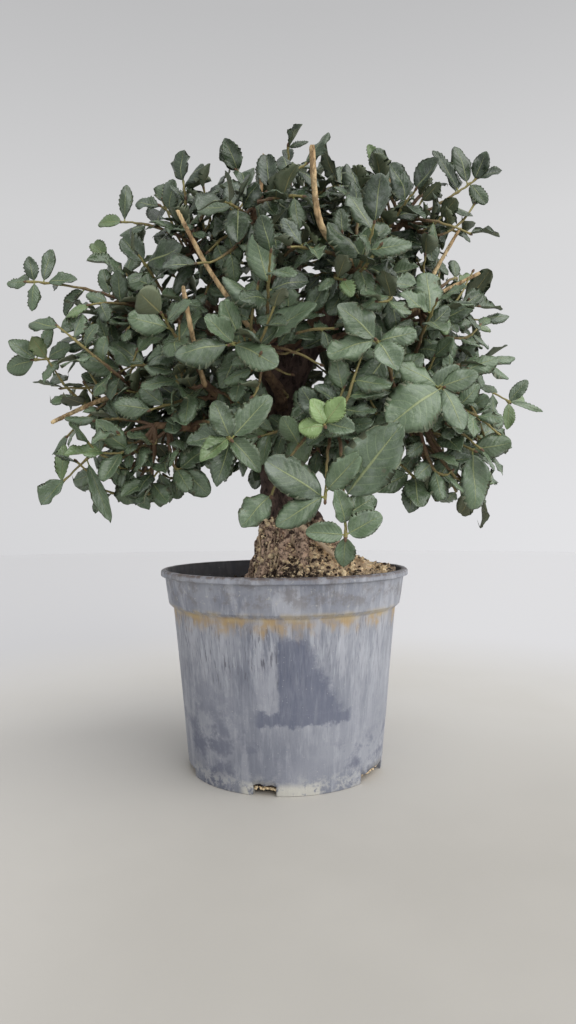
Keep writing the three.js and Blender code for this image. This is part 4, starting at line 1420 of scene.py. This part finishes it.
def roughen(mesh):
    """Moves the wood's points by the bark's relief and gives them the values that its look reads."""
    points = vectors_of(mesh, "co") / MM
    normals = vectors_of(mesh, "normal")
    girth, pruned, cut = wood_values(points)
    buried = np.array([within((EARTH_TOP - point[2]) / EARTH_FADE) for point in points])
    for i, point in enumerate(points):
        lift = bark_lift(point, girth[i], buried[i])
        points[i] += normals[i] * lift * (1 - cut[i]) * (1 - 0.6 * pruned[i])
    mesh.vertices.foreach_set("co", (points * MM).ravel())
    values = {"girth": np.clip(girth / 16, 0, 1), "pruned": pruned, "cut": cut, "buried": buried}
    for key, value in values.items():
        mesh.attributes.new(key, "FLOAT", "POINT").data.foreach_set("value", value)
    mesh.update()


roughen(melted)


def bark_look():
    look = Look("bark", 1.4)
    tall = look.stretched(1, 1, 0.35)
    girth = look.attribute("girth")
    fine = look.noise(1.1, 5, 0.7, at=tall)
    cracks = look.noise(3.0, 5, 0.7, 0.6, at=tall).step(0.5, 0.36)
    mottle = look.noise(6.0, 6, 0.65, at=tall).step(0.3, 0.7)
    trunk = look.mix(mottle, rgb(66, 52, 50), rgb(110, 90, 81))
    twig = look.mix(mottle, rgb(104, 80, 64), rgb(146, 120, 90))
    ochre = look.mix(mottle, rgb(178, 144, 104), rgb(246, 220, 170))
    look.base = look.mix(girth.step(0.14, 0.42), twig, trunk)
    look.paint(look.attribute("pruned") * 0.92, ochre)
    look.paint(look.noise(9, 3).step(0.55, 0.75, 0, 0.4), rgb(128, 108, 92))
    look.paint(cracks * girth.step(0.14, 0.4, 0.12, 0.75), rgb(40, 28, 26))
    look.paint(fine.step(0.5, 0.75, 0, 0.35), rgb(150, 126, 106))
    cut_wood = look.mix(look.noise(0.8, 3).step(0.3, 0.7), rgb(176, 150, 112), rgb(205, 184, 146))
    look.paint(look.attribute("cut"), cut_wood)
    # Earth and pale debris cling to the root mass
    crumb = look.noise(2.4, 6, 0.7).step(0.4, 0.56)
    earth = look.mix(crumb, rgb(92, 72, 64), rgb(236, 204, 178))
    earth = look.mix(look.cells(1.6).step(0.3, 0.12, 0, 0.7), earth, rgb(242, 216, 180))
    cling = look.attribute("buried") + (look.noise(8, 5) - 0.5) * 1.6
    look.paint(cling.step(0.45, 0.7, 0, 0.85), earth)
    return look.finish(fine * 0.8 - cracks, 0.8, fine.step(0.2, 0.8, 0.7, 0.9))


wood.data.materials.append(bark_look())
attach(wood, "root")
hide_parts("trunk_and_branches")


def soil_look(name, dark, pale, grain):
    """Crumbly earth: dark where `sand` is 0, tan where it is 1."""
    look = Look(name, 1.35)
    mottle = look.noise(2.6, 6, 0.7)
    shade = look.attribute("sand") + (mottle - 0.5) * 2.4
    look.base = look.mix(shade.step(0.25, 0.9), dark, pale)
    speck = look.cells(grain).step(0.3, 0.12) * look.noise(5.0, 3).step(0.42, 0.6)
    look.paint(speck * 0.8, rgb(200, 172, 134))
    return look.finish(look.noise(1.0, 5, 0.7), 0.7, mottle.step(0.2, 0.8, 0.85, 1.0))


SOIL_SIDES = 180
SOIL_RINGS = 64
SOIL_EDGE = 72.4
# Radius and height of the rings down the side of the soil, foot first
SOIL_SIDE = ((60.2, 4.7), (70.0, 102.5), (72.4, 106.5))


def sandiness(x, y):
    """Where the pale debris lies: on the heap to the right of the trunk."""
    right = 1.2 * math.exp(-(((x - 46) / 26) ** 2) - (((y + 8) / 38) ** 2))
    heap = 0.62 * math.exp(-(((x - 16) / 22) ** 2) - (((y + 16) / 26) ** 2))
    return min(1.0, right + heap)


def soil_point(x, y):
    rough = noise.noise(Vector((x / 6, y / 6, 1))) * 2.2
    rough += noise.noise(Vector((x / 2.3, y / 2.3, 7))) * 1.6
    rough += noise.noise(Vector((x / 1.1, y / 1.1, 3))) * 0.7
    edge = min(1, (SOIL_EDGE - math.hypot(x, y)) / 4)
    return vec(x, y, soil_height(x, y) + rough * max(edge, 0))


soup = Soup()
points = []
for radius, z in SOIL_SIDE:
    points += circle(radius, z, SOIL_SIDES)
for r in range(SOIL_RINGS):
    ring = circle(SOIL_EDGE * (1 - r / SOIL_RINGS), 0, SOIL_SIDES)
    points += [soil_point(x, y) for x, y, _ in ring]
sand = np.array([sandiness(p[0], p[1]) for p in points])
soup.add(np.array(points), ring_faces(SOIL_RINGS + len(SOIL_SIDE), SOIL_SIDES), 0, sand=sand)
earth = soup.build("soil_surface", (soil_look("soil", rgb(50, 43, 43), rgb(236, 208, 174), 1.9),))
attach(earth, "root")
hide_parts("soil")

# A crumb is a solid of twenty triangles, squashed at random
GOLD = (1 + math.sqrt(5)) / 2
CRUMB_POINTS = np.array(
    [
        (-1, GOLD, 0), (1, GOLD, 0), (-1, -GOLD, 0), (1, -GOLD, 0),
        (0, -1, GOLD), (0, 1, GOLD), (0, -1, -GOLD), (0, 1, -GOLD),
        (GOLD, 0, -1), (GOLD, 0, 1), (-GOLD, 0, -1), (-GOLD, 0, 1),
    ]
) / math.hypot(1, GOLD)
CRUMB_FACES = [
    [0, 11, 5], [0, 5, 1], [0, 1, 7], [0, 7, 10], [0, 10, 11],
    [1, 5, 9], [5, 11, 4], [11, 10, 2], [10, 7, 6], [7, 1, 8],
    [3, 9, 4], [3, 4, 2], [3, 2, 6], [3, 6, 8], [3, 8, 9],
    [4, 9, 5], [2, 4, 11], [6, 2, 10], [8, 6, 7], [9, 8, 1],
]
CRUMBS = 3700
ROOT_CRUMBS = 1500
NOTCH_CRUMBS = 60
STRAWS = 170
FINE_ROOTS = 70
# How far from the pot's axis the loose pieces lie, and the share of them that lies round the heap
CRUMB_EDGE = 70
STRAW_EDGE = 64
HEAP_CRUMBS = {"share": 0.55, "middle": (14, -6), "spread": (34, 40)}
HEAP_STRAWS = {"share": 0.7, "middle": (20, -8), "spread": (36, 40)}


def add_crumb(soup, random, at, size, sand):
    squash = vec(lerp(0.7, 1.3, random()), lerp(0.6, 1.1, random()), lerp(0.5, 0.9, random()))
    shape = CRUMB_POINTS * size * squash
    shape = shape * np.array([[lerp(0.75, 1.2, random())] for _ in CRUMB_POINTS])
    spin = Matrix.Rotation(6.28 * random(), 3, "Z") @ Matrix.Rotation(1.5 * random(), 3, "X")
    soup.add(shape @ np.array(spin) + at, CRUMB_FACES, 0, sand=sand)


def root_surface(turn, z):
    """A point on the root mass at a height, and the way out of it."""
    heights = [ring[2] for ring in TRUNK]
    middle = vec(np.interp(z, heights, [r[0] for r in TRUNK]), 0, z)
    radius = trunk_radius(np.interp(z, heights, [r[3] for r in TRUNK]), z, turn)
    out = vec(math.cos(turn), math.sin(turn), 0)
    return middle + out * radius, out


def scattered(random, middle, spread):
    """A place near the middle by chance, and less often far from it."""
    return [m + s * (random() + random() - 1) for m, s in zip(middle, spread)]


def add_crumbs(soup):
    random = draws(SEEDS["crumbs"])
    for _ in range(CRUMBS):
        radius = SOIL_EDGE * math.sqrt(random()) * 0.97
        turn = 2 * math.pi * random()
        x, y = radius * math.cos(turn), radius * math.sin(turn)
        if random() < HEAP_CRUMBS["share"]:
            x, y = scattered(random, HEAP_CRUMBS["middle"], HEAP_CRUMBS["spread"])
        if math.hypot(x, y) > CRUMB_EDGE:
            continue
        size = lerp(0.5, 1.9, random() ** 2.5)
        sand = sandiness(x, y)
        pale = random() < 0.12 + 0.5 * sand
        at = soil_point(x, y) + vec(0, 0, 0.25 * size)
        add_crumb(soup, random, at, size, 1.5 if pale else 0.3 * random() + 0.3 * sand)
    for _ in range(ROOT_CRUMBS):
        z = 122 + 38 * random() ** 1.3
        point, out = root_surface(6.28 * random(), z)
        size = lerp(0.6, 2.1, random() ** 2)
        pale = random() < 0.6
        at = point + out * lerp(-0.5, 1.6, random())
        add_crumb(soup, random, at, size, 1.5 if pale else 0.6 * random())
    for heading, width, height in NOTCHES:
        out = direction(heading, 0)
        side = cross(UP, out)
        for _ in range(NOTCH_CRUMBS):
            across = 0.46 * width * (2 * random() - 1)
            at = out * lerp(52, 60, random()) + side * across + UP * (2.4 + 0.6 * height * random())
            add_crumb(soup, random, at, lerp(0.6, 1.8, random()), 0.7 + 0.7 * random())


def add_straws(soup):
    random = draws(SEEDS["straws"])
    for _ in range(STRAWS):
        if random() < HEAP_STRAWS["share"]:
            x, y = scattered(random, HEAP_STRAWS["middle"], HEAP_STRAWS["spread"])
        else:
            turn = 6.28 * random()
            radius = STRAW_EDGE * math.sqrt(random())
            x, y = radius * math.cos(turn), radius * math.sin(turn)
        if math.hypot(x, y) > STRAW_EDGE:
            continue
        heading = 6.28 * random()
        length = lerp(1.5, 7, random() ** 2)
        out = vec(math.cos(heading), math.sin(heading), 0)
        line = []
        for s in (0, 0.33, 0.67, 1):
            p = vec(x, y, 0) + out * (length * (s - 0.5))
            line.append(soil_point(p[0], p[1]) + vec(0, 0, 0.5))
        add_tube(soup, line, [lerp(0.2, 0.45, random())] * 4, 5, 0, sand=0.7 + 0.6 * random())
    # Fine roots that run down the root mass
    for _ in range(FINE_ROOTS):
        turn = 6.28 * random()
        top = lerp(132, 160, random())
        drift = 0.5 * (random() - 0.5)
        line = []
        for s in (0, 0.3, 0.6, 1):
            point, out = root_surface(turn + drift * s, max(top - 16 * s, 121))
            line.append(point + out * (0.8 + 0.8 * random()))
        add_tube(soup, line, [lerp(0.25, 0.7, random())] * 4, 5, 0, sand=0.3 + random())


soup = Soup()
add_crumbs(soup)
crumb_look = soil_look("crumbs", rgb(62, 50, 46), rgb(255, 232, 192), 1.1)
crumbs = soup.build("soil_crumbs", (crumb_look,), smooth=False)
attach(crumbs, "root")

# Straw, fine roots and the long dry root that leans on the heap
DRY_ROOT = (
    (3, -19, 159),
    (9, -22, 155.5),
    (16, -22.5, 149.5),
    (23.4, -23, 143),
    (30, -27, 137),
    (38, -32, 129),
)
DRY_ROOT_RADII = (1.5, 1.8, 1.9, 1.8, 1.6, 1.0)
soup = Soup()
add_straws(soup)
add_limb(soup, DRY_ROOT, DRY_ROOT_RADII, 5, sides=8, sand=1.2)
straw_look = soil_look("straw", rgb(140, 112, 92), rgb(224, 200, 170), 2.5)
straw = soup.build("straw_and_fine_roots", (straw_look,))
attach(straw, "root")


# The pot: a turned wall with rounded edges, notched at the foot
POT_SIDES = 200


def rounded(profile, size=0.5, steps=3):
    """The profile with each inner corner replaced by a short curve."""
    points = [np.array(p, float) for p in profile]
    out = [points[0]]
    for before, corner, after in zip(points, points[1:], points[2:]):
        reach = min(size, 0.4 * math.dist(before, corner), 0.4 * math.dist(corner, after))
        a = corner + unit(before - corner) * reach
        b = corner + unit(after - corner) * reach
        for k in range(steps + 1):
            t = k / steps
            out.append((1 - t) ** 2 * a + 2 * t * (1 - t) * corner + t * t * b)
    return out + [points[-1]]


def split_long(profile, most):
    out = [profile[0]]
    for a, b in zip(profile, profile[1:]):
        steps = max(1, math.ceil(math.dist(a, b) / most))
        out += [a + (b - a) * (k / steps) for k in range(1, steps + 1)]
    return out


def build_pot():
    wall = POT["wall"]
    profile = [
        (0, 0),
        (POT["pad"], 0),
        (POT["pad"] + 2, POT["recess"]),
        (POT["foot"] - 10, POT["recess"]),
        (POT["foot"] - 8, 0),
        (POT["foot"], 0),
        (POT["neck"], POT["neck_z"]),
        (POT["collar"], POT["collar_z"]),
        (POT["rim"] - 2.7, POT["lip_z"]),
        (POT["rim"], POT["lip_z"] + 0.8),
        (POT["rim"], POT["height"] - 0.8),
        (POT["rim"] - 1, POT["height"]),
        (POT["mouth"], POT["height"]),
        (POT["collar"] - wall, POT["collar_z"] + 1),
        (POT["neck"] - wall, POT["neck_z"] - 0.4),
        (POT["foot"] - wall, POT["recess"] + POT["floor"]),
        (0, POT["recess"] + POT["floor"]),
    ]
    outline = split_long(rounded(profile), 5.0)[1:-1]
    rings = np.array([point for r, z in outline for point in circle(r, z, POT_SIDES)])
    # Old plastic is a little out of true
    for i, (x, y, z) in enumerate(rings):
        lump = noise.noise(Vector((x / 30, y / 30, z / 45)))
        dent = noise.noise(Vector((x / 9, y / 9, z / 9 + 40)))
        rings[i] += unit(vec(x, y, 0)) * within((z - 2) / 30) * (0.35 * lump + 0.1 * dent)
        rings[i][2] += 0.25 * noise.noise(Vector((x / 12, y / 12, 5))) * (z > 110)
    soup = Soup()
    soup.add(rings, ring_faces(len(outline), POT_SIDES), 0)
    return soup.build("pot_wall", ())


def notch_cutter():
    soup = Soup()
    for heading, width, height in NOTCHES:
        random = draws(SEEDS["notch"] + heading)
        out = direction(heading, 0)
        side = cross(UP, out)
        middle = out * (POT["foot"] - 3)
        # A ragged top edge, as where the plastic has broken away
        steps = 6
        top = [height + 1.6 * (random() - 0.5) for _ in range(steps + 1)]
        across = [width * (k / steps - 0.5) * (1 + 0.04 * (random() - 0.5)) for k in range(steps + 1)]
        ring = []
        for reach in (-6, 6):
            ring += [middle + out * reach + side * x + UP * -1 for x in across]
            ring += [middle + out * reach + side * x + UP * z for x, z in zip(across[::-1], top[::-1])]
        soup.add(np.array(ring), ring_faces(2, 2 * (steps + 1)), 0)
    return soup.build("notch_cutter", ())


pot = build_pot()
cutter = notch_cutter()
cut_out = pot.modifiers.new("notches", "BOOLEAN")
cut_out.operation = "DIFFERENCE"
cut_out.solver = "EXACT"
cut_out.object = cutter
for polygon in bake(pot).polygons:
    polygon.use_smooth = True
bpy.data.objects.remove(cutter)


# The patch's left edge, its right edge at the top, its top and foot, and how much wider it gets per
# millimetre towards the foot
PATCH = {"left": -3.5, "right": 13, "top": 90, "foot": 45, "spread": 0.53}
# How far the wall leans outwards for each millimetre of height
WALL_LEAN = 0.129


def pot_look():
    look = Look("weathered plastic with painted light and shade", 1.45)
    x, y, z = look.place.split()
    tall = look.stretched(1, 1, 0.07)
    taller = look.stretched(1, 1, 0.16)
    look.base = look.mix(look.noise(34, 4).step(0.35, 0.65), rgb(122, 126, 138), rgb(152, 155, 164))
    # Painted light: the wall grows lighter towards the right, most of all high up
    look.paint(x.step(-10, 60, 0, 0.3) * z.step(25, 80, 0.25, 1.0), rgb(180, 183, 190))
    broad = look.noise(8.0, 5, 0.65, at=taller).step(0.46, 0.62)
    look.paint(broad * z.step(50, 90, 0.42, 0.62), rgb(180, 182, 190))
    high = z.step(36, 88, 0.2, 1.0) * z.step(107.5, 104.0, 0.2, 1.0)
    streak = look.noise(2.0, 5, 0.6, at=tall).step(0.48, 0.68)
    look.paint(streak * high * 0.5, rgb(184, 188, 196))
    thin = look.noise(1.2, 4, 0.6, at=tall).step(0.54, 0.66)
    look.paint(thin * high * 0.45, rgb(92, 96, 110))

    # Long thin runs down the upper wall, most of them on the left
    run = look.noise(1.0, 3, 0.5, at=look.stretched(1, 1, 0.012)).step(0.57, 0.64)
    run = run * z.step(52, 74) * z.step(103, 100)
    run = run * look.noise(22, 3).step(0.38, 0.55) * x.step(30, -15, 0.35, 1.0)
    look.paint(run * 0.7, rgb(70, 70, 80))

    # Darker cloudy patches, strongest on the left and low on the right
    left = x.step(20, -55, 0.25, 0.8)
    right = x.step(18, 36) * z.step(42, 22, 0.0, 0.75)
    dark = look.noise(17.0, 6, 0.65).step(0.44, 0.6) * z.step(92, 20)
    look.paint(dark * left.math("MAXIMUM", right), rgb(90, 95, 114))

    # A cleaner dark patch on the front, straight on its left and wider towards the foot
    ragged = (look.noise(6, 6, 0.7) - 0.5) * 14.0
    near_x = x + ragged * 0.35
    near_z = z + ragged
    past_slope = x + ragged + near_z * PATCH["spread"] - (PATCH["right"] + PATCH["spread"] * PATCH["top"])
    patch = near_x.step(PATCH["left"] - 1, PATCH["left"] + 1) * past_slope.step(3.0, -5.0)
    patch = patch * near_z.step(PATCH["foot"], PATCH["foot"] + 4)
    patch = patch * near_z.step(PATCH["top"] + 4, PATCH["top"])
    sill = abs(near_z - PATCH["foot"]).step(5.0, 2.5)
    sill = sill * near_x.step(-18.0, -14.0) * near_x.step(40.0, 36.0)
    patch = patch.math("MAXIMUM", sill) * y.step(-20.0, -40.0)
    patch = patch * look.noise(4, 5, 0.7, at=taller).step(0.3, 0.6, 0.6, 1.0)
    look.paint(patch * 0.8, rgb(88, 94, 114))

    # Rusty tide marks under the collar
    tide = (z + look.noise(5.0, 4, 0.6, at=tall) * 26.0).step(104.0, 113.0) * z.step(104.5, 102.0)
    look.paint(tide * look.noise(14, 4).step(0.4, 0.62, 0.12, 1.0) * 0.85, rgb(176, 148, 100))
    seam = z.step(99.5, 102.5) * z.step(107.5, 104.5)
    look.paint(seam * look.noise(9, 4).step(0.42, 0.64) * 0.55, rgb(186, 168, 128))

    # Chalk and scrapes at the foot, scuffs on the collar band and the lip
    look.paint(z.step(16.0, 2.0) * look.noise(5, 5, 0.7).step(0.45, 0.6) * 0.6, rgb(192, 192, 190))
    bared = z.step(9.0, 4.0) * abs(x + 2.0).step(26.0, 20.0) * y.step(-30, -45)
    look.paint(bared * look.noise(6, 5, 0.7).step(0.4, 0.5) * 0.8, rgb(204, 202, 192))
    on_band = z.step(106.0, 112.0)
    look.paint(on_band * look.noise(3.2, 5, 0.7).step(0.58, 0.68) * 0.6, rgb(196, 196, 190))
    look.paint(on_band * look.noise(10, 6, 0.7).step(0.46, 0.62) * 0.5, rgb(112, 106, 102))
    look.paint(z.step(124.6, 126.2) * look.noise(4, 4).step(0.35, 0.6) * 0.8, rgb(96, 78, 68))

    # Painted shade darkens the inside, and pale specks of dust lie all over
    upright = (x * x + y * y).math("SQRT") - z * WALL_LEAN
    look.paint(upright.step(60.9, 60.3) * z.step(105.5, 107.0) * 0.85, rgb(58, 56, 60))
    look.paint(look.cells(3.1).step(0.12, 0.05) * 0.35, rgb(206, 206, 200))
    relief = look.noise(0.7, 4, 0.6) * 0.3 + streak * 0.25
    return look.finish(relief, 0.25, look.noise(6, 4).step(0.3, 0.7, 0.52, 0.72))


pot.data.materials.append(pot_look())
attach(pot, "root")
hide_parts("pot")

# A plain floor that grows paler away from the pot, with painted light: lighter towards the back and on
# the left near the pot, and on the right far off
FLOOR_RADIUS = 2600
FLOOR_SIDES = 128
FLOOR_Z = -0.05
NEAR_FLOOR = 235
FAR_FLOOR = 560


def floor_look():
    look = Look("floor", 1.4, (1, 1, 0))
    x, y, _ = look.place.split()
    away = (x * x + y * y).math("SQRT")
    # Painted light: near the pot the floor is lighter towards the back
    near = look.mix(y.step(-160, 160), rgb(178, 175, 169), rgb(198, 196, 192))
    near = look.mix(look.noise(90, 3).step(0.3, 0.7, 0.0, 0.3), near, rgb(190, 187, 181))
    # Painted light on the left of the pot, over the shadow that the key light casts there
    near = look.mix(x.step(-20, -170, 0.0, 0.3), near, rgb(212, 210, 207))
    # Painted light: far off, the floor is lighter on the right, as the backdrop is
    far = look.mix((x / away).step(-0.5, 0.5), rgb(193, 193, 195), rgb(206, 206, 208))
    look.base = look.mix(away.step(NEAR_FLOOR, FAR_FLOOR), near, far)
    return look.finish(look.noise(1.5, 3), 0.05, 0.75)


soup = Soup()
disc = circle(FLOOR_RADIUS, FLOOR_Z, FLOOR_SIDES) + circle(1, FLOOR_Z, FLOOR_SIDES)
soup.add(np.array(disc), ring_faces(2, FLOOR_SIDES, False, True), 0)
floor = soup.build("floor", (floor_look(),))


def key_light():
    light = bpy.data.lights.new("key", "SUN")
    light.angle = math.radians(75)
    light.energy = 2.1
    light.color = (1.0, 0.99, 0.97)
    made = bpy.data.objects.new("key", light)
    made.location = (0.9, -0.75, 1.2)
    made.rotation_euler = (-made.location).to_track_quat("-Z", "Y").to_euler()
    bpy.context.scene.collection.objects.link(made)


key_light()

# The backdrop: palest at the horizon, greyer above, and a little brighter on the right
BACKDROP = ((0.0, rgb(220, 220, 222)), (0.36, rgb(212, 212, 213)), (0.57, rgb(190, 190, 191)))
BACKDROP_LIGHT = 1.1
BACKDROP_TO_RIGHT = 0.18
BRIGHT_SIDE = (0.49, -0.34, 0.8)
BRIGHT_SIDE_GAIN = 0.35


def backdrop():
    world = bpy.data.worlds.new("studio")
    world.use_nodes = True
    tree = world.node_tree
    way = add_node(tree, "TexCoord", out="Generated")
    x, _, z = way.split()
    grade = tree.nodes.new("ShaderNodeValToRGB")
    put(tree, grade.inputs[0], z)
    grade.color_ramp.elements.new(0.5)
    for element, (position, colour) in zip(grade.color_ramp.elements, BACKDROP):
        element.position = position
        element.color = colour

    # It lights the object more strongly than it looks, and most from above, on the right and in front
    unseen = add_node(tree, "LightPath", out="Is Camera Ray") * -1.0 + 1.0
    strength = unseen * (BACKDROP_LIGHT - 1) + 1.0
    strength = strength * (x * (z * -1.3 + 1.0) * BACKDROP_TO_RIGHT + 1.0)
    facing = add_node(tree, "VectorMath", (way, BRIGHT_SIDE), "Value", operation="DOT_PRODUCT")
    strength = strength * (facing * unseen * BRIGHT_SIDE_GAIN + 1.0)
    background = tree.nodes["Background"]
    put(tree, background.inputs[0], Field(tree, grade.outputs[0]))
    put(tree, background.inputs[1], strength)
    return world


bpy.context.scene.world = backdrop()

scene = bpy.context.scene
scene.view_settings.view_transform = "Standard"
scene.view_settings.look = "None"
camera_data = bpy.data.cameras.new("camera")
camera_data.sensor_width = 36
camera_data.lens = CAMERA_LENS
camera_data.clip_start = 0.02
camera = bpy.data.objects.new("camera", camera_data)
camera.location = CAMERA_AT
camera.rotation_euler = (math.radians(90), CAMERA_ROLL, 0)
scene.collection.objects.link(camera)
scene.camera = camera

bpy.context.view_layer.update()
